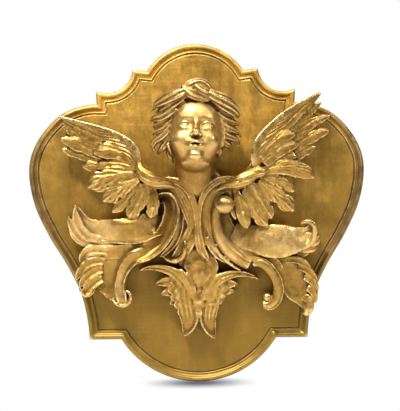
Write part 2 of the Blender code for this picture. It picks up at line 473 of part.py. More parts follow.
def put_right_wing(clay):
    B = clay.blade
    P = lambda rows, **k: plume(clay, rows, **k)
    B([(238, 192, 42, 9, 10), (254, 180, 46, 13, 16), (268, 163, 46, 13, 18), (286, 142, 38, 11, 16), (304, 121, 29, 6, 9)], thick=20, edge=8, base=-2, blunt=0.2)
    # arm
    B([(320.5, 92.6, 30, 1, 1), (308, 98.8, 38, 4.5, 1.2), (295, 105.8, 45, 9, 1.6), (283, 114.4, 51, 13, 2.2), (272, 124.8, 55, 16, 2.8), (262.5, 135.6, 59, 18, 3.6), (257.0, 146.5, 61, 18, 4.6), (255.6, 156.5, 60, 14, 5.0), (257.5, 165.0, 57, 9, 5.0), (260, 170.5, 54, 5, 4)],
      thick=24, edge=7, along=260 if FINE else ALONG + 24, across=121 if FINE else ACROSS + 12, blunt=0.06, relief=arm_relief(1))
    # shoulder, with the joint that stands out at its end
    clay.lock([(267.5, 170.5, 55, 2.2), (262, 171.5, 58, 5.0), (254.5, 173.5, 58, 5.8), (246, 178.4, 59, 7.2), (237, 183.0, 57, 6.6), (229.0, 185.4, 54, 5.0), (222.0, 187.6, 50, 3.2), (216, 190.6, 46, 1.6)], strands=9, groove=0.20, twist=-2.4, flat=0.95)
    # long feathers
    P([(268, 148, 52, 4, 5), (281, 131.0, 48, 5.6, 5, 0), (296, 115.5, 42, 6.0, 5, 0), (309, 103.5, 36, 5.4, 4.4, 0), (321.0, 93.5, 31, 2.0, 2.2)], barbs=5, lag=3.0)
    P([(271, 153, 50, 4, 4), (285, 136.5, 45, 4.6, 5, 0), (299, 121.5, 39, 5.0, 5.4, 0), (311, 110.5, 34, 4.8, 4.8, 0), (322.0, 101.5, 30, 2.8, 2.8)], barbs=5, lag=3.0)
    P([(272, 157, 47, 4, 4), (287, 142.5, 43, 5.4, 5.4, 0), (302, 129.6, 38, 5.6, 5.6, 0), (316, 121.0, 34, 5.4, 5.2, 0, 1), (330.5, 116.0, 29, 3.8, 3.8, 0, 1)], barbs=5, lag=3.0, lobes=0.16)
    P([(276, 161, 44, 4, 4), (291, 150.0, 40, 5.0, 5.4), (304, 141.0, 37, 5.4, 6.4), (317, 134.4, 34, 6.0, 6.4, 0, 2), (329.5, 130.5, 29, 4.8, 4.8, 0, 2)], barbs=4, lag=2.4, lobes=0.2)
    P([(278, 165, 41, 4, 4), (291, 159.0, 38, 5.0, 5.4), (301, 153.6, 36, 5.4, 5.6, 0, 1), (310, 149.0, 33, 5.0, 4.8, 0, 1), (316.0, 146.0, 30, 3.0, 3.0)], barbs=3, lag=2.2, lobes=0.26)
    # coverts
    P([(260, 157, 58, 4, 4), (270, 146.5, 56, 6, 6), (280, 138.5, 52, 6.6, 6.6, 0, 1), (290, 134.5, 47, 6, 6, 0, 2), (296, 134.5, 43, 4, 4, 0, 1)], barbs=3, lag=2.6)
    P([(264, 164, 57, 4, 4), (274, 154.5, 55, 6.4, 6.4), (284, 147.5, 51, 7.0, 7.0, 0, 2), (293, 145.0, 46, 6.4, 6.4, 0, 2), (298.5, 146.0, 42, 4, 4, 0, 1)], barbs=3, lag=2.6)
    P([(266, 168, 54, 4, 4), (277, 161.0, 51, 6, 6), (288, 156.6, 47, 6.2, 6.2, 0, 1), (297, 156.0, 42, 4.4, 4.4, 0, 1)], barbs=3, lag=2.6)
    # broad lower feathers
    P([(264, 171, 55, 3.6, 4.4), (279, 167.6, 53, 6.6, 7.0, 0, 2), (293, 168.2, 50, 8.2, 8.6, 0, 3), (305, 172.0, 46, 8.6, 8.2, 0, 3), (314.5, 177.8, 40, 5.4, 5.8, 0, 2)], barbs=4, lag=3.2, deep=2.2, lobes=0.1, thick=15)
    P([(262, 176, 53, 3, 4), (275, 179.5, 50, 6.0, 6.0, 0, 1), (286, 185.5, 46, 6.6, 6.4, 0, 2), (294, 192.0, 41, 4.6, 4.6, 0, 2)], barbs=3, lag=2.6, lobes=0.12)
    P([(259, 180, 55, 3.6, 4), (269, 188.0, 53, 7, 7, 0, 2), (279, 197.0, 51, 8.8, 8.4, 0, 3), (288.0, 205.5, 47, 9.0, 8.4, 0, 3), (294.0, 211.5, 42, 6.0, 6.0, 0, 2)], barbs=3, lag=2.0, deep=2.6, lobes=0.24, thick=15)
    P([(251, 184, 56, 3.6, 4), (258, 195.0, 54, 6.4, 6.4, 0, 2), (264.5, 205.5, 52, 7.4, 7.4, 0, 2), (269.5, 214.5, 49, 6.6, 6.6, 0, 3), (272.0, 219.5, 45, 4.0, 4.0, 0, 2)], lag=2.2, deep=2.4, lobes=0.22)
    P([(245, 188, 56, 3.6, 4), (250, 200.0, 55, 6.6, 6.0, 0, 2), (256, 212.0, 54, 8.2, 7.8, 0, 3), (263, 221.0, 51, 7.4, 7.2, 0, 3), (268, 226.0, 46, 4.2, 4.2, 0, 2)], lag=2.2, deep=2.4, lobes=0.24, thick=14)
    P([(236, 190, 55, 3, 3), (239.0, 202.0, 56, 5.4, 5.0, 0, 2), (242.5, 213.0, 57, 7.0, 6.4, 0, 3), (245.5, 222.5, 55, 5.8, 5.8, 0, 3), (247.5, 229.0, 49, 2.6, 2.6, 0, 1)], lag=2.6, deep=1.6, lobes=0.06, blunt=0.2)
    P([(230, 191, 51, 3, 3), (232.5, 203.0, 50, 4.4, 4.4), (234.5, 213.0, 48, 4.2, 4.2), (235.5, 220, 44, 2.2, 2.2)], lag=2.2)


def put_left_scroll(clay):
    B = clay.blade

    def band(t, s):
        top = 1.0 - smooth((t - 0.42) / 0.22)
        z = 1.6 * np.exp(-((s - 0.93) / 0.06) ** 2) - 1.4 * np.exp(-((s - 0.83) / 0.05) ** 2) + 1.0 * np.exp(-((s - 0.73) / 0.06) ** 2)
        z = z - 17.0 * top * np.clip(1.0 - ((s + 0.12) / 0.80) ** 2, 0.0, 1.0)
        z = z + (1.0 - top) * (5.5 * np.exp(-((s + 0.38) / 0.34) ** 2) - 2.4 * np.exp(-((s - 0.42) / 0.22) ** 2))
        return z
    B([(156, 205, 45, 4, 4), (160, 199.0, 49, 5.5, 5.5), (167, 199.2, 52, 7.6, 7), (171.5, 208, 52, 8.6, 8.6), (170.2, 219.5, 51, 9.2, 9.2),
       (165.5, 231.5, 50, 9.6, 9.4), (157.8, 242.4, 48, 9.8, 9.6), (147.2, 251.2, 45, 9.6, 9.8), (132.8, 257.0, 40, 8.8, 9.2),
       (124.6, 266.2, 36, 7.8, 8), (120.4, 276.4, 33, 6.6, 6.6), (118.6, 287.5, 32, 6.2, 6.2), (120.2, 297.5, 32, 7.4, 5.6), (122.0, 304.5, 30, 5, 4)],
      relief=band, thick=18, edge=5, base=-2, along=2 * ALONG, across=ACROSS + 10, blunt=0.03)
    clay.ball(123.6, 299.2, 22, 7.0, 12, 6.6)
    clay.lock([(112.5, 299.5, 27, 0.8), (117, 304.4, 30, 1.6), (122.5, 306.0, 32, 1.9), (128, 303.6, 33, 1.9), (130.8, 298.0, 34, 1.9), (129.2, 292.8, 34, 1.7), (126.2, 290.6, 32, 0.9)], strands=1, groove=0.0, flat=1.2)
    # second rim outside the band, with a hollow between the two
    B([(177.5, 203, 44, 1.6, 2), (180.2, 212, 45, 3.0, 3.4), (180.6, 222, 45, 3.2, 3.6), (178.6, 233, 44, 3.2, 3.6), (174.2, 243.0, 42, 3.0, 3.4), (167.5, 251.0, 39, 2.4, 3.0), (160, 257, 35, 1.4, 2.0)],
      relief=lambda t, s: 1.8 * np.exp(-((s - 0.8) / 0.22) ** 2) - 2.0 * np.exp(-((s + 0.1) / 0.4) ** 2), thick=12, edge=4, base=-2, blunt=0.1)
    # upper leaf: a broad smooth tongue that grows out of the band and turns up at its tip
    B([(162, 226.5, 33, 9, 11), (154, 227.6, 40, 10, 14, 0, 1), (144, 229.0, 44, 13.5, 16, 0, 3), (131, 230.8, 44, 13.4, 13.6, 0, 4), (119, 231.0, 40, 12.8, 12.2, -6, 3), (106, 230.6, 32, 12.0, 11.4, -8, 0),
       (95, 228.6, 27, 10.2, 9.4, -6, -4), (86, 223.5, 28, 9.0, 6.8, 0, -5), (80.0, 214.5, 35, 6.0, 4.4, 0, -4), (77.2, 206.0, 43, 3.4, 2.2)],
      relief=lambda t, s: 1.6 * np.exp(-((s - 0.93) / 0.06) ** 2) - 1.2 * np.exp(-((s - 0.80) / 0.07) ** 2) + 3.0 * np.exp(-((s + 0.55) / 0.3) ** 2) * np.exp(-((t - 0.33) / 0.14) ** 2)
      - 3.5 * np.exp(-((s + 0.1) / 0.5) ** 2) * smooth((0.25 - t) / 0.2),
      thick=14, edge=3.5, base=-2, along=ALONG + 14, across=ACROSS + 6, blunt=0.07)
    # its outer side, turned up in three ribs
    for r in ([(104, 240, 26, 2.6, 2.6), (92, 238.0, 27, 4.4, 4.2), (82.5, 230.0, 31, 5.0, 4.4, 0, 1), (77.0, 219.0, 36, 4.6, 4.0, 0, 1), (75.2, 210.0, 41, 2.8, 2.4), (75.6, 205.0, 44, 1.2, 1.2)],
              [(104, 243, 25, 2.4, 2.4), (90, 242.0, 26, 4.0, 4.0), (78.5, 234.6, 31, 4.8, 4.6, 0, 1), (71.4, 224.5, 36, 4.0, 4.0, 0, 1), (67.4, 215.6, 40, 1.4, 1.4)],
              [(106, 245.5, 24, 2.2, 2.2), (93, 245.4, 25, 3.2, 3.2), (81.5, 241.6, 28, 3.8, 3.8, 0, 1), (73.4, 234.6, 32, 3.4, 3.4), (69.2, 227.0, 34, 1.4, 1.4)]):
        B(r, thick=12, edge=3.4, base=6, relief=lambda t, s: 1.3 * np.exp(-((np.abs(s) - 0.78) / 0.18) ** 2) - 1.0 * np.exp(-(s / 0.3) ** 2), blunt=0.3)
    # lower leaf: a smooth shield that rises to the band, with curled lobes on its outer side
    B([(142, 245, 38, 5, 6), (130, 247.6, 35, 9, 9), (116, 250.0, 30, 9, 9), (103, 251.0, 26, 8, 8), (93, 252.0, 23, 5, 5)], thick=14, edge=5, base=-2, blunt=0.1)
    B([(134, 249, 37, 7, 6), (125, 255.0, 33, 9.5, 13, 0, -1), (116, 263.0, 29, 9, 20, 0, -3), (109.5, 274.5, 26, 10, 18.5, 0, -3.5), (108.2, 285.5, 25, 10.5, 11.5, 0, -3), (111.5, 295.0, 26, 8, 5.6, 0, -1), (117.0, 302.5, 27, 4.4, 2.4)],
      relief=lambda t, s: 3.4 * smooth((s - 0.25) / 0.7) + 1.2 * np.exp(-((s + 0.93) / 0.08) ** 2), thick=12, edge=3.0, base=-2, along=ALONG + 8, across=ACROSS + 4, blunt=0.1)
    rolled = lambda t, s: 1.6 * np.exp(-((np.abs(s) - 0.8) / 0.16) ** 2) - 1.6 * np.exp(-(s / 0.35) ** 2)
    B([(108, 252, 27, 3.6, 3.6), (98.0, 250.4, 29, 5.2, 5.2), (90.5, 250.6, 31, 5.6, 5.4), (84.5, 254.0, 32, 5.0, 4.6), (81.4, 259.5, 31, 3.4, 3.2), (80.8, 263.5, 29, 1.6, 1.6)], thick=12, edge=2.8, base=2, relief=rolled)
    B([(104, 262, 26, 3.6, 3.6), (95.5, 261.5, 28, 5.2, 5.0), (87.5, 264.5, 31, 5.0, 4.8), (81.0, 270.5, 33, 4.4, 4.2), (77.4, 277.0, 32, 2.8, 2.8), (76.4, 281.0, 30, 1.2, 1.2)], thick=11, edge=2.8, base=3, relief=rolled)
    B([(103, 270, 25, 3.6, 3.6), (95.5, 271.5, 28, 5.0, 4.8), (88.5, 276.0, 31, 4.8, 4.6), (82.6, 282.0, 32, 4.0, 3.8), (79.4, 287.5, 31, 1.8, 1.8)], thick=11, edge=2.8, base=6, relief=rolled)
    B([(103, 279, 25, 3.6, 3.6), (96.0, 281.5, 27, 5.2, 5.0), (89.6, 286.5, 29, 5.4, 5.2), (85.4, 291.5, 29, 4.2, 4.2), (84.4, 295.0, 27, 2.2, 2.2)], thick=10, edge=2.8, base=8, relief=rolled)
    clay.lock([(79.6, 286.5, 29, 0.8), (81.2, 291.8, 30, 1.4), (86.2, 295.8, 30, 1.6), (91.6, 293.6, 29, 1.6), (94.0, 288.0, 28, 1.0)], strands=1, groove=0.0, flat=1.0)


def put_right_scroll(clay):
    B = clay.blade
    # rolled band with its eye
    B([(217.8, 204, 56, 3.4, 3.4), (216.4, 209, 57, 4.8, 4.6), (216.0, 216, 56, 5.2, 5.0), (217.0, 227, 54, 5.4, 5.4), (221.2, 239.2, 52, 6.0, 6.0),
       (229.0, 250.6, 50, 6.4, 6.4), (239.2, 259.0, 48, 6.4, 6.4), (249.8, 264.8, 46, 6.0, 5.8)],
      relief=lambda t, s: 7.0 * np.sqrt(np.clip(1.0 - (s / 0.86) ** 2, 0.0, 1.0)) - 7.0, thick=16, edge=6, base=-2, along=2 * ALONG, across=ACROSS + 8, blunt=0.0)
    clay.ball(224.4, 204.6, 60, 9.6, 13, 8.9)
    B([(211.5, 199.5, 44, 1.6, 1.6), (208.4, 210, 44, 1.8, 1.8), (208.0, 224, 43, 1.8, 1.8), (211.6, 240, 42, 1.8, 1.8), (219.6, 254, 40, 1.8, 1.8), (231.0, 264.2, 38, 1.8, 1.8), (241.0, 270.5, 36, 1.2, 1.2)], thick=10, edge=4, base=-2, along=ALONG + 8, blunt=0.1)
    # hollow band inside the roll, running on as the second scroll
    B([(225.0, 212, 35, 4, 6), (227.4, 222, 36, 4.8, 8, 0, -2), (232.0, 233, 38, 5.6, 9, 0, -3), (240.0, 243.4, 41, 6.0, 9.5, 0, -3), (251.0, 250.8, 43, 6.0, 9.5, 0, -3), (263.0, 255.6, 41, 5.4, 8, 0, -2), (274.0, 262.0, 37, 5.0, 5.0), (281.0, 270, 33, 4.0, 4.0)],
      relief=lambda t, s: 1.8 * np.exp(-((s - 0.86) / 0.12) ** 2), thick=14, edge=5, base=-2, along=ALONG + 10, across=ACROSS + 4, blunt=0.06)

    def second(t, s):
        return 1.8 * np.exp(-((s - 0.90) / 0.08) ** 2) - 1.6 * np.exp(-((s - 0.70) / 0.08) ** 2) + 3.6 * np.sqrt(np.clip(1.0 - ((s + 0.15) / 0.8) ** 2, 0.0, 1.0)) - 1.5
    B([(252.6, 264.4, 40, 3.4, 3.0), (260.4, 262.6, 42, 5.2, 5.0), (268.4, 267.8, 42, 5.4, 5.0), (274.2, 275.4, 40, 5.6, 5.0), (277.8, 284.0, 38, 5.6, 5.0), (278.2, 292.5, 37, 5.4, 5.0), (275.6, 300.4, 36, 5.4, 4.8), (270.2, 305.6, 35, 4.8, 4.4), (265.0, 305.4, 33, 3.6, 3.6), (262.4, 301.0, 30, 2.0, 2.0)],
      relief=second, thick=14, edge=5, base=-2, along=ALONG + 16, across=ACROSS + 6, blunt=0.06)
    clay.ball(267.6, 297.4, 29, 4.7, 9, 4.7)
    # upper leaf, full and round, turned over at its tip
    B([(233, 231, 38, 9, 8), (245, 236, 41, 12, 12), (257, 239.4, 43, 15, 14, 0, 2), (269, 241.6, 45, 17.5, 16, 0, 4), (281, 242.4, 46, 18, 15.5, 0, 5), (293, 241.0, 45, 15.8, 13, 0, 3), (302, 237.6, 42, 12.0, 10, 0, 0), (308.4, 232.0, 41, 8.6, 7.4, 0, -2), (311.6, 225.6, 43, 5.2, 4.6, 0, -1)],
      thick=16, edge=4.0, base=-2, along=ALONG + 10, across=ACROSS + 4, blunt=0.14, relief=lambda t, s: -2.4 * np.exp(-((s - 0.1) / 0.4) ** 2) * smooth((t - 0.72) / 0.16))
    clay.lock([(300.5, 224.0, 40, 1.0), (304.5, 221.8, 44, 2.0), (309.5, 221.6, 46, 2.6), (314.0, 225.0, 46, 2.8), (315.0, 231.5, 44, 2.8), (313.4, 238.5, 41, 2.8), (308.6, 244.6, 39, 2.6), (301.0, 249.0, 37, 2.2), (291, 252.5, 34, 1.4)], strands=1, groove=0.0, flat=1.1)
    for r in ([(305, 236, 38, 3, 3), (311.6, 236.6, 39, 3.8, 3.8, 0, 1), (316.6, 235.6, 38, 3.6, 3.6, 0, 1), (319.8, 234.0, 36, 2.2, 2.2)],
              [(302, 243, 36, 3, 3), (310.0, 243.0, 37, 4.0, 4.0, 0, 1), (316.0, 241.8, 37, 3.8, 3.8, 0, 1), (320.4, 239.6, 35, 2.2, 2.2)],
              [(298, 249, 32, 3, 3), (306.5, 249.4, 33, 3.8, 3.8, 0, 1), (313.0, 248.6, 33, 3.4, 3.4, 0, 1), (317.8, 246.6, 31, 2.0, 2.0)],
              [(284, 253, 30, 3, 3), (295, 254.6, 29, 3.4, 3.2), (304.0, 254.8, 28, 2.6, 2.6), (309.0, 253.6, 27, 1.2, 1.2)]):
        B(r, thick=10, edge=3.0, base=6, blunt=0.4)
    # lower leaf, one broad surface from the hook outwards
    B([(270, 257, 34, 6, 6), (282, 259, 32, 8, 8), (294, 262, 29, 8, 8), (305, 268, 26, 5, 6)], thick=13, edge=5, base=-2, blunt=0.1)
    B([(268, 258, 36, 6, 6), (280, 264.5, 33, 10, 10, 0, 0), (290.0, 272.5, 30, 14, 15, 0, -1), (298.0, 282.5, 28, 15.4, 17.5, 0, -2), (303.0, 293.0, 28, 13.2, 15.5, 0, -2), (306.4, 303.5, 30, 8.0, 8.0, 0, -1), (306.8, 311.5, 31, 4.4, 4.2)],
      relief=lambda t, s: 1.3 * np.exp(-((s + 0.9) / 0.1) ** 2) - 1.1 * (1.0 - np.abs(np.sin(math.pi * (1.5 * s + 0.3)))) ** 2 * smooth((t - 0.5) / 0.3),
      thick=11, edge=3.0, base=9, along=ALONG + 8, across=ACROSS + 4, blunt=0.10)
    turned = lambda t, s: 1.2 * np.exp(-((np.abs(s) - 0.75) / 0.18) ** 2)
    B([(286, 260, 31, 3, 3), (295.0, 259.8, 33, 3.8, 3.6, 0, 1), (303.6, 262.6, 34, 3.6, 3.4, 0, 1), (311.0, 268.8, 32, 1.8, 1.8)], thick=9, edge=2.6, base=9, relief=turned)
    B([(298, 267, 31, 3, 3), (305.6, 269.4, 33, 3.8, 3.6, 0, 1), (312.0, 274.0, 34, 3.4, 3.2, 0, 1), (317.0, 281.0, 32, 1.8, 1.8)], thick=9, edge=2.6, base=9, relief=turned)
    B([(304, 277, 31, 3, 3), (310.6, 280.4, 33, 3.8, 3.6, 0, 1), (315.4, 286.0, 34, 3.2, 3.0, 0, 1), (317.6, 293.0, 31, 1.6, 1.6)], thick=9, edge=2.6, base=9, relief=turned)
    B([(307, 288, 31, 3, 3), (312.4, 291.6, 33, 3.4, 3.4, 0, 1), (315.4, 297.0, 33, 2.8, 2.8), (315.6, 303.0, 31, 1.4, 1.4)], thick=9, edge=2.6, base=9, relief=turned)
    B([(305, 297, 31, 4, 4), (309.4, 302.0, 33, 4.4, 4.2, 0, 2), (309.2, 308.2, 34, 4.6, 4.4, 0, 3), (306.0, 312.8, 32, 3.6, 3.6, 0, 2), (302.4, 313.4, 29, 1.8, 1.8)], thick=10, edge=3.0, base=9)


def reeded(n, deep=1.6, start=0.0):
    """Reeds side by side along a ribbon."""
    return lambda t, s: -deep * (1.0 - np.abs(np.sin(0.5 * math.pi * n * (s + 1.0)))) ** 1.6 * smooth((t - start + 0.05) / 0.1)


def put_middle(clay):
    B, L = clay.blade, clay.lock
    # solid behind the ornament
    clay.ball(197, 134, 12, 25, 26, 27)
    B([(198, 168, 24, 15, 15), (198, 182, 32, 26, 26), (198, 196, 38, 27, 27), (197, 212, 37, 23, 22), (196, 230, 34, 20, 20), (195, 246, 30, 20, 20), (197, 260, 26, 17, 19), (199, 274, 22, 15, 15), (199, 290, 19, 13, 13), (199, 306, 17, 12, 12), (199, 322, 14, 9, 9)], thick=20, edge=9, base=-2, blunt=0.08)
    # bands that come down from the wings: reeded on the left, hollow on the right
    B([(158, 187, 49, 5, 5), (168, 188.0, 51, 5.4, 5.4), (176.6, 192.4, 52, 5.6, 5.8), (182.8, 201.0, 52, 5.8, 6.0), (187.4, 211, 50, 5.4, 5.8), (190.4, 221, 48, 4.2, 4.8), (191.6, 229, 45, 2.6, 3.0), (191.6, 235, 42, 1.2, 1.2)],
      relief=reeded(4, 3.0), thick=18, edge=7, base=-2, along=ALONG + 12, across=ACROSS + 12, blunt=0.06)
    B([(183.0, 210, 45, 2.6, 2.6), (185.6, 220, 44, 3.6, 3.8), (186.0, 230, 42, 3.8, 4.4), (183.6, 241, 40, 3.6, 4.6), (179.0, 251, 36, 3.2, 4.0), (173.0, 259, 32, 2.4, 3)],
      relief=lambda t, s: -2.6 * np.exp(-(s / 0.55) ** 2), thick=16, edge=6, base=-2, blunt=0.06)
    B([(240, 185.5, 50, 4.5, 5), (228, 186.4, 52, 5.2, 5.2), (217.6, 190.4, 52, 5.6, 5.8), (210.4, 198.4, 51, 6.0, 6.6), (206.8, 209, 49, 6.0, 6.8), (206.6, 221, 47, 5.8, 6.2), (208.8, 233, 44, 5.4, 5.6), (213.4, 244.6, 41, 5.0, 5.0), (220.4, 254.6, 38, 4.6, 4.6), (229.0, 262.6, 33, 3.2, 3.2)],
      relief=lambda t, s: -4.2 * np.sqrt(np.clip(1.0 - (s / 0.8) ** 2, 0.0, 1.0)) + 1.0 * np.exp(-((np.abs(s) - 0.92) / 0.07) ** 2), thick=18, edge=7, base=-2, along=ALONG + 14, across=ACROSS + 10, blunt=0.06)
    # fine ribbons that meet under the neck and run on as one stem
    B([(160, 180.0, 50, 1.6, 1.8), (169, 179.6, 53, 2.8, 2.8), (178, 182.2, 56, 3.6, 3.8), (186.2, 188.2, 57, 3.8, 4.0), (191.6, 196.6, 56, 3.4, 3.8), (194.8, 206.4, 54, 2.8, 3.2), (196.2, 217, 52, 2.2, 2.6), (196.4, 228, 49, 1.4, 1.6), (196.2, 236, 46, 0.8, 0.8)],
      relief=reeded(3, 2.8), thick=14, edge=5, base=6, along=2 * ALONG, across=ACROSS + 8, blunt=0.06)
    B([(236, 179.0, 50, 2.0, 2.0), (227, 178.8, 54, 3.0, 3.0), (218, 181.0, 57, 3.8, 3.8), (210.0, 186.2, 58, 4.0, 4.0), (204.0, 194.4, 57, 3.4, 3.6), (200.6, 204.4, 54, 2.6, 2.8), (199.4, 215, 52, 2.2, 2.4), (199.2, 227, 49, 1.8, 1.8), (199.8, 238, 46, 0.8, 0.8)],
      relief=reeded(3, 2.8), thick=14, edge=5, base=6, along=2 * ALONG, across=ACROSS + 8, blunt=0.06)
    clay.ball(197.2, 187.5, 44, 8.0, 8, 8)
    # folded leaf down the middle
    B([(197.8, 214, 47, 2.4, 2.4), (197.8, 223, 48, 3.4, 3.4, 0, 1), (198.2, 233, 48, 4.4, 4.4, 0, 2), (199.6, 243, 45, 5.2, 5.0, 0, 2), (201.6, 252, 40, 4.4, 4.2, 0, 1), (203.6, 259, 36, 1.6, 1.6)],
      relief=reeded(3, 2.4, 0.15), thick=16, edge=5, base=-2, along=ALONG + 4, across=ACROSS + 4)
    for r in ([(192, 222, 47, 2.0, 2.0), (188.2, 231, 45, 3.4, 3.0, 0, 1), (185.0, 239, 41, 3.0, 3.0, 0, 1), (182.4, 246.0, 37, 1.2, 1.2)],
              [(194, 236, 44, 2.0, 2.0), (190.6, 244.0, 43, 3.8, 3.4, 0, 1), (187.0, 251.0, 40, 3.8, 3.4, 0, 1), (184.0, 257.5, 35, 1.4, 1.4)],
              [(199, 240, 44, 1.8, 1.8), (202.4, 248.5, 42, 3.0, 3.2, 0, 1), (206.2, 256.5, 39, 2.8, 2.8), (209.4, 262.0, 35, 1.2, 1.2)],
              [(206, 238, 43, 1.8, 1.8), (211.2, 247.5, 41, 3.0, 3.2, 0, 1), (217.0, 255.5, 38, 2.8, 2.8), (223.0, 262.0, 34, 1.2, 1.2)]):
        B(r, thick=12, edge=4, base=-2, relief=lambda t, s: -1.8 * np.exp(-(s / 0.28) ** 2) * smooth((t - 0.1) / 0.3), blunt=0.4)
    # curled lip at the foot of the left scroll
    L([(163.6, 256.6, 32, 0.9), (169.6, 260.4, 34, 2.0), (176.6, 261.0, 36, 2.5), (182.4, 257.0, 38, 2.5), (185.0, 249.5, 40, 2.2), (184.6, 241.0, 41, 1.2)], strands=1, groove=0.0, flat=1.3)
    # shield-shaped boss
    B([(197.6, 248, 34, 9, 9), (198.6, 256.5, 33, 13, 14, 0, 1), (200.4, 264.4, 33, 16.0, 17.4, 0, 2), (200.4, 272.5, 34, 12.0, 14.0, 0, 3), (199.2, 281.0, 32, 7.6, 8, 0, 3), (198.4, 288.5, 28, 4.4, 4.4, 0, 1), (198.2, 292, 26, 3, 3)],
      relief=lambda t, s: 1.8 * np.exp(-((np.abs(s) - 0.84) / 0.12) ** 2) * smooth((t - 0.25) / 0.2) - 3.0 * np.exp(-(s / 0.5) ** 2) * np.exp(-((t - 0.22) / 0.14) ** 2) - 1.2 * np.exp(-((s - 0.42) / 0.1) ** 2) * smooth((t - 0.3) / 0.2),
      thick=14, edge=5, base=-2, blunt=0.05, across=ACROSS + 4)
    B([(208, 258, 34, 3, 3), (214.5, 264.6, 36, 3.6, 3.4, 0, 1), (213.0, 273.5, 35, 3.4, 3.2, 0, 1), (207.6, 281.5, 33, 2.6, 2.6), (203.6, 288, 29, 1.6, 1.6)], thick=12, edge=4, base=-2, relief=reeded(1, 0.0))


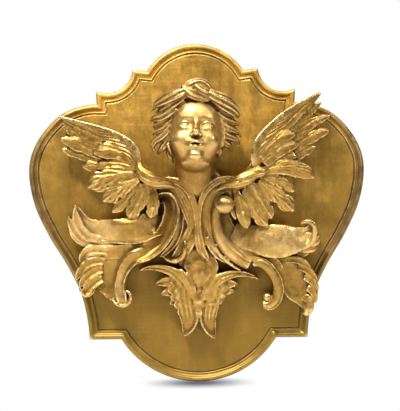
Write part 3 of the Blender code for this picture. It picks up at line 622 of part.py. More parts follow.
def put_pendant(clay):
    B, L = clay.blade, clay.lock
    # horns of the two leaves
    horn = lambda t, s: 1.7 * np.exp(-((np.abs(s) - 0.74) / 0.17) ** 2) - 1.6 * np.exp(-((s - 0.15) / 0.2) ** 2) + 0.9 * np.exp(-((s + 0.25) / 0.14) ** 2)
    for rows in ([(191.0, 304, 25, 3, 3), (188.5, 292.0, 29, 4.6, 5.4, 0, 1), (183.0, 281.4, 32, 5.4, 5.8, 0, 2), (175.0, 273.6, 34, 5.2, 5.4, 0, 2), (166.0, 269.4, 32, 4.4, 4.2, 0, 1), (156.5, 267.4, 29, 3.4, 3.0, 0, 1), (147.5, 267.8, 26, 2.2, 1.8), (138.8, 270.8, 22, 0.8, 0.8)],
                 [(205.6, 306, 25, 3, 3), (207.6, 295.0, 29, 5.0, 4.6, 0, 1), (212.4, 285.4, 32, 5.4, 5.2, 0, 2), (220.0, 279.0, 34, 5.2, 5.2, 0, 2), (229.0, 275.2, 32, 4.4, 4.4, 0, 1), (239.0, 273.6, 29, 3.2, 3.4, 0, 1), (249.6, 275.0, 25, 2.0, 2.4), (259.0, 279.8, 22, 0.8, 0.8)]):
        B(rows, thick=11, edge=3, base=-2, along=ALONG + 12, across=ACROSS + 2, blunt=0.1, relief=horn)
    # inner lobes, scalloped on the inside
    B([(193.0, 298, 30, 3, 3), (190.6, 287.5, 34, 4.8, 5.2, 0, 2), (185.6, 278.6, 36, 5.0, 5.4, 0, 2), (179.6, 272.6, 35, 4.6, 4.6, 0, 1), (175.4, 269.6, 32, 2.6, 2.6)], thick=11, edge=3, base=-2, relief=ridged(3, 1.4, 1.8, 0.8), cut=fingered(3, 1.4, 0.24, only=-1))
    B([(204.0, 300, 30, 3, 3), (206.6, 290.5, 33, 4.6, 4.0, 0, 2), (211.6, 282.5, 34, 4.6, 4.0, 0, 2), (218.0, 276.6, 33, 4.0, 3.6, 0, 1), (224.6, 273.0, 30, 2.0, 2.0)], thick=11, edge=3, base=-2, relief=ridged(3, 1.4, 1.8, 0.8), cut=fingered(3, 1.4, 0.24, only=1))
    # broad striped bodies that narrow into hollow legs
    reeds = lambda t, s: 1.8 * np.exp(-((np.abs(s) - 0.9) / 0.1) ** 2) * smooth((t - 0.5) / 0.2) - 2.8 * (1.0 - np.abs(np.sin(math.pi * (2.0 * s + 0.6 * t + 0.15)))) ** 1.3 * smooth((0.86 - t) / 0.25)
    B([(187.6, 274, 29, 6, 9), (184.6, 282, 31, 7, 14.6, 0, 2), (183.6, 290, 31, 8, 16.4, 0, 2), (184.4, 299, 29, 8.6, 13.4, 0, 2), (186.2, 308, 27, 8.6, 10.4, 0, 1), (188.2, 317, 24, 7.8, 8.4, 0, -1), (188.4, 325, 22, 6.4, 6.8, 0, -3), (186.6, 331.6, 20, 4.4, 4.6, 0, -3), (184.2, 336, 19, 1.6, 1.4)],
      thick=12, edge=3.2, base=-2, along=ALONG + 14, across=ACROSS + 14, blunt=0.05, relief=reeds, cut=lambda t, side: 1.0 if side > 0 else 1.0 - 0.26 * (1.0 - np.abs(np.sin(math.pi * (9.0 * t + 0.2)))) ** 1.4 * smooth((t - 0.04) / 0.1) * smooth((0.62 - t) / 0.12))
    B([(210.4, 279, 29, 9, 6), (213.6, 286, 31, 14.0, 7.6, 0, 2), (212.8, 294, 30, 14.4, 8.6, 0, 2), (211.2, 302, 28, 10.6, 8.6, 0, 1), (210.0, 310, 26, 8.0, 8.2, 0, 1), (209.2, 319, 24, 6.8, 7.4, 0, -1), (209.8, 328, 22, 6.0, 6.4, 0, -3), (212.2, 334, 20, 3.8, 4.2, 0, -3), (214.8, 338, 19, 1.4, 1.6)],
      thick=12, edge=3.2, base=-2, along=ALONG + 14, across=ACROSS + 14, blunt=0.05, relief=reeds, cut=lambda t, side: 1.0 if side < 0 else 1.0 - 0.26 * (1.0 - np.abs(np.sin(math.pi * (9.0 * t + 0.2)))) ** 1.4 * smooth((t - 0.04) / 0.1) * smooth((0.56 - t) / 0.12))
    L([(197.2, 312, 25, 1.4), (196.8, 320.5, 24, 1.5), (194.0, 327.2, 24, 1.5), (189.6, 332.6, 22, 1.3), (184.0, 335.8, 20, 0.8)], strands=1, groove=0.0, flat=1.2)
    L([(200.6, 312, 25, 1.4), (201.4, 321.0, 24, 1.5), (204.8, 329.0, 24, 1.5), (209.8, 335.0, 22, 1.3), (215.6, 338.2, 20, 0.8)], strands=1, groove=0.0, flat=1.2)
    # scallops down the outer sides
    leaf = dict(relief=lambda t, s: 1.0 * np.exp(-((np.abs(s) - 0.75) / 0.2) ** 2) - 1.0 * np.exp(-(s / 0.25) ** 2) * smooth((t - 0.2) / 0.3), thick=10, edge=3.0, base=-2, blunt=0.4)
    for rows in ([(190, 284, 29, 4, 4), (177.0, 281.6, 31, 6.0, 5.6, 0, 1), (165.0, 281.8, 28, 5.4, 5.0), (155.4, 284.4, 22, 2.6, 2.6)],
                 [(190, 291, 29, 4, 4), (179.0, 290.0, 29, 6.2, 5.6, 0, 1), (169.0, 291.4, 26, 5.4, 5.0), (161.0, 294.8, 21, 2.8, 2.8)],
                 [(190, 298, 28, 4, 4), (182.0, 298.8, 28, 5.6, 5.2, 0, 1), (174.6, 301.2, 25, 4.8, 4.4), (169.6, 304.6, 21, 2.4, 2.4)],
                 [(207, 289, 29, 4, 4), (218.5, 284.8, 31, 5.4, 5.6, 0, 1), (229.6, 283.6, 28, 4.6, 5.0), (238.8, 285.2, 22, 2.4, 2.4)],
                 [(207, 296, 29, 4, 4), (217.5, 292.6, 29, 5.0, 5.4, 0, 1), (227.4, 291.0, 26, 4.0, 4.4), (235.2, 291.4, 21, 2.2, 2.2)],
                 [(207, 302, 28, 3.6, 3.6), (214.0, 299.8, 28, 4.8, 4.8, 0, 1), (220.6, 298.8, 24, 3.8, 3.8), (224.8, 299.4, 20, 2.0, 2.0)]):
        B(rows, **leaf)
    # husk and drop down the middle
    B([(198.0, 286, 27, 5, 5), (197.8, 294, 29, 6.2, 6.0, 0, 3), (198.0, 302, 29, 5.0, 4.8, 0, 3), (198.6, 307, 27, 3.2, 3.2, 0, 1), (198.8, 312.5, 28, 3.8, 3.6, 0, 2), (199.0, 318.5, 25, 2.2, 2.2)],
      relief=lambda t, s: -1.4 * np.exp(-(s / 0.2) ** 2) * smooth((0.5 - t) / 0.2), thick=12, edge=4, base=-2, blunt=0.2)


def heap(step):
    clay = Clay()
    put_head(clay, step)
    for put in (put_hair, put_left_wing, put_right_wing, put_left_scroll, put_right_scroll, put_middle, put_pendant):
        put(clay)
    return clay


# ---------------------------------------------------------------- the shaped board
def half_chain():
    """Right half of the outline, crown to foot, as runs between corners, in mm."""
    runs = []
    r = (ARCH_HALF**2 + (ARCH_TOP - ARCH_FOOT) ** 2) / (2 * (ARCH_TOP - ARCH_FOOT))
    a = np.linspace(0.0, math.asin(ARCH_HALF / r), 50)
    runs.append(np.stack([r * np.sin(a), ARCH_TOP - r + r * np.cos(a)], axis=1))
    runs.append(np.array([runs[0][-1], (STEP_X, STEP_Y)]))
    a = np.linspace(-math.pi - math.asin((STEP_Y - SWEEP_Y) / SWEEP_R), math.atan2(HORN_Y - SWEEP_Y, HORN_X - SWEEP_X), 60)
    runs.append(np.stack([SWEEP_X + SWEEP_R * np.cos(a), SWEEP_Y + SWEEP_R * np.sin(a)], axis=1))
    runs.append(np.array([runs[2][-1], SHOULDER[0]]))
    runs.append(through([(x, y, 0.0) for x, y in SHOULDER], 140)[:, :2])
    runs.append(np.array([SHOULDER[-1], (LOBE_X, LOBE_Y)]))
    r = (LOBE_X**2 + (LOBE_Y - LOBE_LOW) ** 2) / (2 * (LOBE_Y - LOBE_LOW))
    a = np.linspace(math.asin(LOBE_X / r), 0.0, 70)
    runs.append(np.stack([r * np.sin(a), LOBE_LOW + r - r * np.cos(a)], axis=1))
    return [q * (GRID / MM) for q in runs]


def crossing(p, q):
    """Where run p first meets run q: place, index in p, index in q."""
    a, b, c, d = p[:-1, None], p[1:, None], q[None, :-1], q[None, 1:]
    r, s, w = b - a, d - c, c - a
    det = r[..., 0] * s[..., 1] - r[..., 1] * s[..., 0]
    det = np.where(np.abs(det) < 1e-12, 1e-12, det)
    t = (w[..., 0] * s[..., 1] - w[..., 1] * s[..., 0]) / det
    u = (w[..., 0] * r[..., 1] - w[..., 1] * r[..., 0]) / det
    hit = np.argwhere((t >= 0) & (t <= 1) & (u >= 0) & (u <= 1))
    i, j = hit[0]
    return p[i] + t[i, j] * (p[i + 1] - p[i]), i, j


COUNTS = (7, 1, 8, 1, 16, 2, 9)   # steps in each run of the plain outline


def outline(away, fine=1):
    """The outline moved inwards by `away` mm, mitred at its corners, clockwise as seen."""
    reach, chain, runs = 1.0 + 2.2 * abs(away), half_chain(), []
    for k, p in enumerate(chain):
        t = np.gradient(p, axis=0)
        t /= np.linalg.norm(t, axis=1)[:, None]
        q = p + away * np.stack([t[:, 1], -t[:, 0]], axis=1)
        head = [q[0] - reach * t[0]] if k else []
        tail = [q[-1] + reach * t[-1]] if k < len(chain) - 1 else []
        runs.append(np.vstack(head + [q] + tail))
    for k in range(len(runs) - 1):
        x, i, j = crossing(runs[k], runs[k + 1])
        runs[k], runs[k + 1] = np.vstack([runs[k][:i + 1], x]), np.vstack([x, runs[k + 1][j + 1:]])
    pts = [runs[0][0]]
    for p, n in zip(runs, COUNTS):
        run = np.concatenate([[0.0], np.cumsum(np.linalg.norm(np.diff(p, axis=0), axis=1))])
        even = np.linspace(0.0, run[-1], n * fine + 1)[1:]
        pts.extend(np.stack([np.interp(even, run, p[:, 0]), np.interp(even, run, p[:, 1])], axis=1))
    right = np.array(pts)
    right[0, 0] = right[-1, 0] = 0.0
    left = right[1:-1][::-1] * np.array((-1.0, 1.0))
    return np.concatenate([right, left])


# Moulding of the rim: distance in from the edge (mm) and height over the wall (mm).
MOULDING_PLAIN = ((0.0, 0.0), (0.0, 26.5), (1.8, 30.6), (5.4, 32.0), (8.6, 30.2), (13.4, 26.6), (15.6, 27.2), (16.2, 24.3), (18.0, 24.3), (18.9, 26.4), (21.6, 26.0))


# ---------------------------------------------------------------- scene objects
FINE = False
ALONG, ACROSS, AROUND, ROUND = 20, 11, 12, 7
SKIN = 0.0030          # the carving's skin is drawn at this fineness
CARVING_FACES = 6900   # triangles left to the carving


def clean_scene():
    for ob in list(bpy.data.objects):
        bpy.data.objects.remove(ob, do_unlink=True)


def gilt(name, colour, rough, metal):
    m = bpy.data.materials.new(name)
    m.use_nodes = True
    b = m.node_tree.nodes["Principled BSDF"]
    b.inputs["Base Color"].default_value = (*colour, 1.0)
    b.inputs["Roughness"].default_value = rough
    b.inputs["Metallic"].default_value = metal
    return m


def ringed(name, rows, fine=1):
    """A closed board: the outline carried through (distance in, height) rows and capped."""
    pts = []
    for d, h in rows:
        q = outline(d, fine)
        pts.append(np.stack([q[:, 0], np.full(len(q), -h), q[:, 1]], axis=1))
    n, k = len(rows), len(pts[0])
    faces = []
    for i in range(n - 1):
        for j in range(k):
            a, b = i * k + j, i * k + (j + 1) % k
            faces.append((a, b, b + k, a + k))
    faces.append(tuple(range(k)))
    faces.append(tuple(range((n - 1) * k, n * k))[::-1])
    me = bpy.data.meshes.new(name)
    me.from_pydata((np.concatenate(pts) * MM).tolist(), [], faces)
    me.update()
    bm = bmesh.new()
    bm.from_mesh(me)
    bmesh.ops.recalc_face_normals(bm, faces=bm.faces)
    bm.to_mesh(me)
    bm.free()
    return me


def add(name, mesh, material=None):
    ob = bpy.data.objects.new(name, mesh)
    bpy.context.scene.collection.objects.link(ob)
    if material is not None:
        mesh.materials.append(material)
    return ob


def main():
    clean_scene()
    gold = gilt("gilt_carving", (0.62, 0.40, 0.14), 0.34, 0.85)
    ochre = gilt("gilt_board", (0.50, 0.32, 0.10), 0.46, 0.75)

    panel = add("panel", ringed("panel", MOULDING_PLAIN), ochre)

    # The room the board takes, a little enlarged: the carving is cut to lie on it.
    grow = CLEAR / MM
    rows = [(-grow, -30.0)] + [(d - grow if d < 1.0 else d, h + grow) for d, h in MOULDING_PLAIN[1:7]] + [(15.6 + grow, 27.2 + grow), (21.6, FIELD / MM + grow)]
    seat = add("seat_cutter", ringed("seat_cutter", rows))
    seat.hide_render = True
    seat.display_type = "WIRE"

    cherub = add("cherub", heap(2.2).mesh("cherub"), gold)
    skin = cherub.modifiers.new("skin", "REMESH")
    skin.mode = "VOXEL"
    skin.voxel_size = SKIN
    skin.use_smooth_shade = True
    less = cherub.modifiers.new("less", "DECIMATE")
    less.ratio = 0.1
    seatcut = cherub.modifiers.new("seat", "BOOLEAN")
    seatcut.operation = "DIFFERENCE"
    seatcut.solver = "EXACT"
    seatcut.object = seat
    # Even out how far the skin is thinned, so that the carving keeps CARVING_FACES triangles.
    less.show_viewport = less.show_render = False
    seatcut.show_viewport = seatcut.show_render = False
    graph = bpy.context.evaluated_depsgraph_get()
    graph.update()
    full = len(cherub.evaluated_get(graph).data.polygons) * 2
    less.ratio = min(1.0, CARVING_FACES / full)
    less.show_viewport = less.show_render = True
    seatcut.show_viewport = seatcut.show_render = True
    for p in cherub.data.polygons:
        p.use_smooth = True


main()
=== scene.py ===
"""Looks for the gilded cherub plaque: one carving and one moulded board, gold leaf over bole."""
import math

import bmesh
import bpy
import numpy as np
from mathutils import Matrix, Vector
from mathutils.geometry import delaunay_2d_cdt


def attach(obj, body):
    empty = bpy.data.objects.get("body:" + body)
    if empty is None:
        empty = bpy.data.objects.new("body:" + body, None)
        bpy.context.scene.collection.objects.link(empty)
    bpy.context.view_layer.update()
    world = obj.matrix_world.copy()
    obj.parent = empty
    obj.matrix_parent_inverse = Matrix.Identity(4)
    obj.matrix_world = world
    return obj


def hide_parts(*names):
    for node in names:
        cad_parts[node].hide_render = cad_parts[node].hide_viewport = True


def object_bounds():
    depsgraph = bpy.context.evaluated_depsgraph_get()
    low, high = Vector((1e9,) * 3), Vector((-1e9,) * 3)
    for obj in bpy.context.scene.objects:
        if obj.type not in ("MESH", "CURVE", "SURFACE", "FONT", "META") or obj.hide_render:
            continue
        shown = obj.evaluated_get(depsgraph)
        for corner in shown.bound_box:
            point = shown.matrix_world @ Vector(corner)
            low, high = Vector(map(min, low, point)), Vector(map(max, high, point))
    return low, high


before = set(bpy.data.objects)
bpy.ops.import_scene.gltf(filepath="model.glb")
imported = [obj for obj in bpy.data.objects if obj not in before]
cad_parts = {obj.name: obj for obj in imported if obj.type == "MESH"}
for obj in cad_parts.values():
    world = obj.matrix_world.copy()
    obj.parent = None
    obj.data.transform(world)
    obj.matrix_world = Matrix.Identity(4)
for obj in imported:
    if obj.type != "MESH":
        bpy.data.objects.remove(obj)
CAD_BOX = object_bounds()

FINE = True
ALONG, ACROSS, AROUND, ROUND = 56, 31, 30, 14
# ---------------------------------------------------------------- driving dimensions (metres unless named mm)
PANEL_WIDTH = 0.600            # widest part of the shaped board
GRID = PANEL_WIDTH / 334.8     # one step of the layout grid, 1.792 mm
COL0, ROW0 = 197.0, 212.7      # grid place of the middle of the board
EYE_COL, EYE_ROW = 200.0, 205.5  # grid place straight before the eye
SIGHT = 3.2                    # the layout is drawn as seen from this far
LAY_TURN = math.radians(0.75)  # the layout grid sits this far off square to the board
FIELD = 0.026                  # thickness of the board at its flat field
RIM = 0.032                    # height of the moulded rim
GROOVE = 0.0243                # bottom of the quirk beside the field
CLEAR = 0.0003                 # fitting gap between carving and board
MM = 0.001

# Half outline of the board, in grid steps from its middle (right side, y up).
ARCH_TOP, ARCH_HALF, ARCH_FOOT = 168.7, 48.2, 142.2   # round head
STEP_X, STEP_Y = 63.0, 144.0                          # small level step beside it
SWEEP_X, SWEEP_Y, SWEEP_R = 88.0, 146.0, 25.4         # hollow quarter round
HORN_X, HORN_Y, HORN_FOOT = 100.0, 122.7, 109.5       # horn and the drop under it
SHOULDER = ((99.0, 109.5), (114.0, 107.8), (135.0, 99.3), (153.5, 81.0), (164.0, 62.0),
            (167.4, 43.0), (162.5, 10.7), (148.0, -21.8), (130.0, -52.0), (117.5, -78.0),
            (111.5, -102.0), (109.0, -125.6))
LOBE_X, LOBE_Y, LOBE_LOW = 77.3, -125.6, -168.7       # round foot


# ---------------------------------------------------------------- curves and grids
def smooth(t):
    t = np.clip(t, 0.0, 1.0)
    return t * t * (3.0 - 2.0 * t)


def through(rows, n):
    """A smooth curve through the rows (first three columns are a place in mm), n even steps."""
    p = np.array(rows, float)
    if len(p) == 2:
        t = np.linspace(0.0, 1.0, n)[:, None]
        return p[0] * (1.0 - t) + p[1] * t
    d = np.sqrt(np.maximum(np.linalg.norm(np.diff(p[:, :3], axis=0), axis=1), 1e-6))
    t = np.concatenate([[0.0], np.cumsum(d)])
    m = np.gradient(p, t, axis=0, edge_order=2)
    q = np.linspace(0.0, t[-1], 24 * len(p))
    k = np.clip(np.searchsorted(t, q, side="right") - 1, 0, len(p) - 2)
    h = (t[k + 1] - t[k])[:, None]
    u = ((q - t[k])[:, None]) / h
    c = ((2 * u**3 - 3 * u**2 + 1) * p[k] + (u**3 - 2 * u**2 + u) * h * m[k]
         + (3 * u**2 - 2 * u**3) * p[k + 1] + (u**3 - u**2) * h * m[k + 1])
    run = np.concatenate([[0.0], np.cumsum(np.linalg.norm(np.diff(c[:, :3], axis=0), axis=1))])
    even = np.linspace(0.0, run[-1], n)
    return np.stack([np.interp(even, run, c[:, j]) for j in range(c.shape[1])], axis=1)


def place(col, row, h):
    """Grid column, row and height over the field (mm) as a place in mm: x right, y to the wall, z up."""
    k = 1.0 - (h * MM) / SIGHT
    col = EYE_COL + (np.asarray(col, float) - EYE_COL) * k
    row = EYE_ROW + (np.asarray(row, float) - EYE_ROW) * k
    dx, dz = col - COL0, ROW0 - row
    c, s = math.cos(LAY_TURN), math.sin(LAY_TURN)
    g = GRID / MM
    return np.stack([(dx * c + dz * s) * g, -(FIELD / MM) - np.asarray(h, float) + 0.0 * dx,
                     (-dx * s + dz * c) * g], axis=-1)


def stations(rows, n):
    """Rows (col, row, h, more...) as n even steps along a smooth curve in mm."""
    r = np.array(rows, float)
    p = place(r[:, 0], r[:, 1], r[:, 2])
    return through(np.concatenate([p, r[:, 3:]], axis=1), n)


def frames(c, up=(0.0, -1.0, 0.0)):
    """Tangent, left and up vectors that turn as little as they can along the curve."""
    t = np.gradient(c, axis=0)
    t /= np.maximum(np.linalg.norm(t, axis=1), 1e-9)[:, None]
    u = np.zeros_like(t)
    now = np.array(up, float)
    for i in range(len(t)):
        now = now - np.dot(now, t[i]) * t[i]
        now /= max(np.linalg.norm(now), 1e-9)
        u[i] = now
    return t, np.cross(u, t), u


class Clay:
    """Closed shapes heaped together, in mm; one skin is drawn over them afterwards."""

    def __init__(self):
        self.points, self.faces, self.n = [], [], 0

    def add(self, points, faces):
        self.points.append(np.asarray(points, float))
        self.faces.extend([tuple(int(i) + self.n for i in f) for f in faces])
        self.n += len(points)

    def tube(self, rings):
        """A closed tube through rings (n, k, 3), with flat ends."""
        n, k = rings.shape[:2]
        faces = []
        for i in range(n - 1):
            for j in range(k):
                a, b = i * k + j, i * k + (j + 1) % k
                faces.append((a, b, b + k, a + k))
        faces.append(tuple(range(k))[::-1])
        faces.append(tuple(range((n - 1) * k, n * k)))
        self.add(rings.reshape(-1, 3), faces)

    def blade(self, rows, relief=None, cut=None, thick=9.0, edge=2.0, base=None, along=None,
              across=None, up=(0.0, -1.0, 0.0), blunt=0.25, wide=1.0):
        """A leaf-like solid. Rows: col, row, h, left and right half width (grid steps),
        roll (degrees, left edge up), camber (mm). The front follows relief(t, s), s = +1 at
        the left edge; the edges are cut by cut(t, side). Behind it is `thick` mm, or stands on
        the height `base`."""
        along = along or ALONG
        across = across or ACROSS
        r = [tuple(x) + (0.0,) * (7 - len(x)) for x in rows]
        c = stations(r, along)
        t = np.linspace(0.0, 1.0, along)
        _, left, u = frames(c[:, :3], up)
        roll = np.radians(c[:, 5])[:, None]
        left, u = left * np.cos(roll) + u * np.sin(roll), u * np.cos(roll) - left * np.sin(roll)
        g = GRID / MM
        span = {1: c[:, 3] * g * wide, -1: c[:, 4] * g * wide}
        end = np.sqrt(np.clip(1.0 - np.clip((t - (1.0 - blunt)) / blunt, 0.0, 1.0) ** 2, 0.0, 1.0)) if blunt > 0 else 1.0
        for k in (1, -1):
            m = cut(t, k) if cut else 1.0
            span[k] = np.maximum(span[k] * end * m, 0.5)
        s = np.linspace(1.0, -1.0, across)
        half = np.where(s[None, :] >= 0, span[1][:, None], span[-1][:, None])
        side = s[None, :] * half
        rise = c[:, 6][:, None] * (1.0 - s[None, :] ** 2)
        if relief is not None:
            rise = rise + relief(t[:, None], s[None, :])
        fade = np.minimum(1.0, (np.minimum(span[1], span[-1]) / 3.0))[:, None]
        top = c[:, None, :3] + side[..., None] * left[:, None, :] + (rise * fade)[..., None] * u[:, None, :]
        inner = s[::-1]
        depth = edge + (thick - edge) * smooth((1.0 - np.abs(inner)) / 0.55)
        under = top[:, ::-1, :] - (depth[None, :] * np.maximum(fade, 0.45))[..., None] * u[:, None, :]
        under = under - (inner * 0.12)[None, :, None] * half[:, ::-1, None] * left[:, None, :]
        if base is not None:
            deep = smooth((1.0 - np.abs(inner)) / 0.45)[None, :]
            y = -(FIELD / MM) - base
            under[..., 1] = under[..., 1] * (1.0 - deep) + np.maximum(y, under[..., 1]) * deep
        self.tube(np.concatenate([top, under], axis=1))

    def lock(self, rows, strands=7, groove=0.2, twist=0.6, along=None, around=None,
             up=(0.0, -1.0, 0.0), flat=0.7, raw=False):
        """A tapering lock of hair. Rows: col, row, h, half width (grid steps), roll; raw rows
        start with a place in mm instead."""
        along = along or ALONG
        around = around or AROUND
        r = [tuple(x) + (0.0,) * (5 - len(x)) for x in rows]
        c = through(r, along) if raw else stations(r, along)
        t = np.linspace(0.0, 1.0, along)[:, None]
        _, left, u = frames(c[:, :3], up)
        roll = np.radians(c[:, 4])[:, None]
        left, u = left * np.cos(roll) + u * np.sin(roll), u * np.cos(roll) - left * np.sin(roll)
        a = np.linspace(0.0, 2.0 * math.pi, around, endpoint=False)[None, :]
        w = np.abs(np.sin(0.5 * strands * (a + twist * t) + 0.7))
        k = 1.0 - groove * (1.0 - w) ** 1.5
        rad = np.maximum(c[:, 3][:, None] * GRID / MM, 0.5)
        x, y = rad * k * np.cos(a), rad * k * flat * np.sin(a)
        self.tube(c[:, None, :3] + x[..., None] * left[:, None, :] + y[..., None] * u[:, None, :])

    def ball(self, col, row, h, rx, ry, rz, turn=0.0, n=None):
        """An ellipsoid; rx across and rz up in grid steps, ry in mm towards the eye."""
        n = n or 2 * ROUND
        c = place(col, row, h)
        g = GRID / MM
        v = np.linspace(0.02, math.pi - 0.02, n)[:, None]
        a = np.linspace(0.0, 2.0 * math.pi, 2 * n, endpoint=False)[None, :]
        p = np.stack([rx * g * np.sin(v) * np.cos(a), ry * np.cos(v) + 0.0 * a, rz * g * np.sin(v) * np.sin(a)], axis=-1)
        k = math.radians(turn)
        q = p.copy()
        q[..., 0] = p[..., 0] * math.cos(k) - p[..., 2] * math.sin(k)
        q[..., 2] = p[..., 0] * math.sin(k) + p[..., 2] * math.cos(k)
        self.tube(q + c)

    def mesh(self, name):
        me = bpy.data.meshes.new(name)
        me.from_pydata((np.concatenate(self.points) * MM).tolist(), [], self.faces)
        me.update()
        return me


def ridged(fingers, lag=0.9, groove=1.6, rib=1.6, start=0.25, fine=0, fine_deep=0.5, valley=0.0):
    """Front of a vane or leaf: a rib down the middle and grooves that run out from it."""
    def relief(t, s):
        a = np.abs(s)
        q = fingers * t - lag * a + 0.15
        on = smooth((t - start) / 0.2) * smooth(a / 0.35)
        z = -groove * (1.0 - np.abs(np.sin(math.pi * q))) ** 2 * on
        z = z + rib * np.exp(-(s / 0.10) ** 2) * (1.0 - 0.75 * t)
        z = z - valley * np.exp(-((a - 0.32) / 0.2) ** 2)
        if fine and FINE:
            z = z - fine_deep * (0.5 + 0.5 * np.cos(fine * math.pi * q)) * smooth((a - 0.1) / 0.2) * on
        return z
    return relief


def fingered(fingers, lag=0.9, deep=0.3, start=0.3, only=0):
    """Edges cut into rounded fingers that match the grooves of ridged()."""
    def cut(t, side):
        if only and side != only:
            return 1.0 + 0.0 * t
        q = fingers * t - lag + 0.15
        on = smooth((t - start) / 0.15)
        return 1.0 - deep * (1.0 - np.abs(np.sin(math.pi * q))) ** 1.4 * on
    return cut


# ---------------------------------------------------------------- head
HEAD_COL, HEAD_ROW, HEAD_H = 196.0, 133.0, 62.0
HEAD_BACK, HEAD_LEAN = math.radians(17.0), math.radians(2.5)  # tilted back, leaning a little


def blend(a, b, k):
    h = np.clip(0.5 + 0.5 * (b - a) / k, 0.0, 1.0)
    return b * (1.0 - h) + a * h - k * h * (1.0 - h)


def carve(a, b, k):
    return -blend(-a, b, k)


def egg(p, centre, radii):
    q = (p - np.array(centre, np.float32)) / np.array(radii, np.float32)
    k = np.sqrt((q * q).sum(-1))
    m = q / np.array(radii, np.float32)
    return k * (k - 1.0) / np.maximum(np.sqrt((m * m).sum(-1)), 1e-6)


def rod(p, a, b, ra, rb):
    a, b = np.array(a, np.float32), np.array(b, np.float32)
    t = np.clip(((p - a) @ (b - a)) / float((b - a) @ (b - a)), 0.0, 1.0)
    return np.linalg.norm(p - a - t[..., None] * (b - a), axis=-1) - (ra + (rb - ra) * t)


def head_field(p):
    """A calm child's head, mm; x to the side, y forward out of the face, z to the crown."""
    x = np.abs(p[..., 0])
    m = p.copy()
    m[..., 0] = x                                    # one side is worked, the other mirrors it
    d = egg(m, (0, -6, 12), (49, 54, 58))            # skull
    d = blend(d, egg(m, (0, 9, -24), (38, 38, 44)), 14.0)   # jaw
    d = blend(d, egg(m, (0, 27, 22), (37, 25, 29)), 12.0)    # forehead
    d = blend(d, egg(m, (23, 27.5, -23), (18.5, 17.5, 18)), 9.0)  # cheeks
    d = blend(d, egg(m, (0, 38, -54), (12.5, 10.5, 9.5)), 7.0)    # chin
    d = blend(d, egg(m, (0, 14, -62), (24, 20, 9)), 9.0)     # soft under-chin
    d = blend(d, rod(m, (0, -20, -40), (0, -84, -92), 34.5, 36), 8.0)  # neck
    d = blend(d, rod(m, (7, 46.0, 12), (27, 40.5, 12.5), 4.4, 3.2), 6.0)  # brow
    d = carve(d, egg(m, (18.5, 54.5, -0.5), (13.2, 10.5, 8.8)), 4.0)    # eye hollow
    d = carve(d, egg(m, (7, 57.5, 1), (5, 8, 8)), 4.0)
    d = blend(d, rod(m, (0, 46.5, 8), (0, 56.2, -15), 3.8, 5.2), 4.5)  # bridge of the nose
    d = blend(d, egg(m, (0, 57.6, -18.6), (6.6, 6.8, 5.8)), 3.0)
    d = blend(d, egg(m, (7.0, 52.4, -19.6), (4.4, 5.6, 4.5)), 1.8)  # wings of the nose
    d = carve(d, egg(m, (3.7, 56.4, -24.6), (2.2, 4.0, 2.8)), 0.9)  # nostrils
    ex, ey, ez = x - 18.5, m[..., 1] - 37.5, m[..., 2] + 1.5
    r = np.sqrt(ex * ex + ey * ey + ez * ez)
    d = np.minimum(d, r - 9.8)                               # eyes
    slant = ez - 0.06 * ex
    almond = np.maximum(np.hypot(ex, slant + 8.2), np.hypot(ex, slant - 7.4)) - 12.8
    lids = carve(r - 12.0, almond, 0.7)
    lids = np.maximum(lids, 6.0 - r)
    d = blend(d, lids, 1.6)
    crease = np.abs(np.hypot(ex, slant + 9.2) - 16.8) - 0.7       # fold over the upper lid
    crease = np.maximum(np.maximum(crease, np.abs(r - 11.8) - 1.8), -slant)
    d = carve(d, crease, 0.9)
    iris = np.abs(np.hypot(ex, ez) - 4.4) - 0.5
    d = carve(d, np.maximum(iris, np.abs(r - 9.8) - 0.9), 0.4)
    d = carve(d, egg(m, (18.5, 47.6, -1.5), (1.9, 2.2, 1.9)), 0.4)   # pupil
    d = blend(d, egg(m, (0, 41.5, -35), (17, 11.4, 12)), 5.0)        # round the mouth
    d = blend(d, rod(m, (1.8, 52.0, -33.0), (11.4, 46.2, -36.2), 3.2, 1.5), 1.2)   # upper lip
    d = blend(d, rod(m, (0, 50.8, -41.6), (9.6, 46.0, -39.0), 3.7, 1.8), 1.2)      # lower lip
    d = carve(d, egg(m, (0, 50.8, -37.3), (9.4, 9.0, 2.1)), 0.7)    # parted lips
    d = carve(d, egg(m, (0, 54.0, -28.6), (1.9, 3.0, 4.4)), 1.4)    # groove under the nose
    d = carve(d, egg(m, (0, 52.4, -48.2), (10, 4.6, 2.8)), 3.4)     # over the chin
    d = carve(d, egg(m, (13.8, 48.0, -36.4), (1.7, 2.6, 2.4)), 1.8) # corners of the mouth
    ear = egg(m, (47.5, -8, -8), (5.5, 10, 14))
    ear = carve(ear, egg(m, (53.0, -5, -7), (4.0, 5.5, 8.5)), 2.0)
    d = blend(d, ear, 3.0)
    return d


def hair_field(p):
    """The close mass of hair the locks spring from."""
    x, y, z = p[..., 0], p[..., 1], p[..., 2]
    cap = egg(p, (0, -8, 12), (55.0, 57, 61))
    wave = 1.6 * np.cos(np.arctan2(z - 12.0, x) * 26.0 + 0.05 * y)  # strands of the close hair
    front = (y - 24.0) + 0.75 * (34.0 - z) - 0.006 * x * x      # hairline leans back at the temples
    return np.maximum(cap + wave, front)


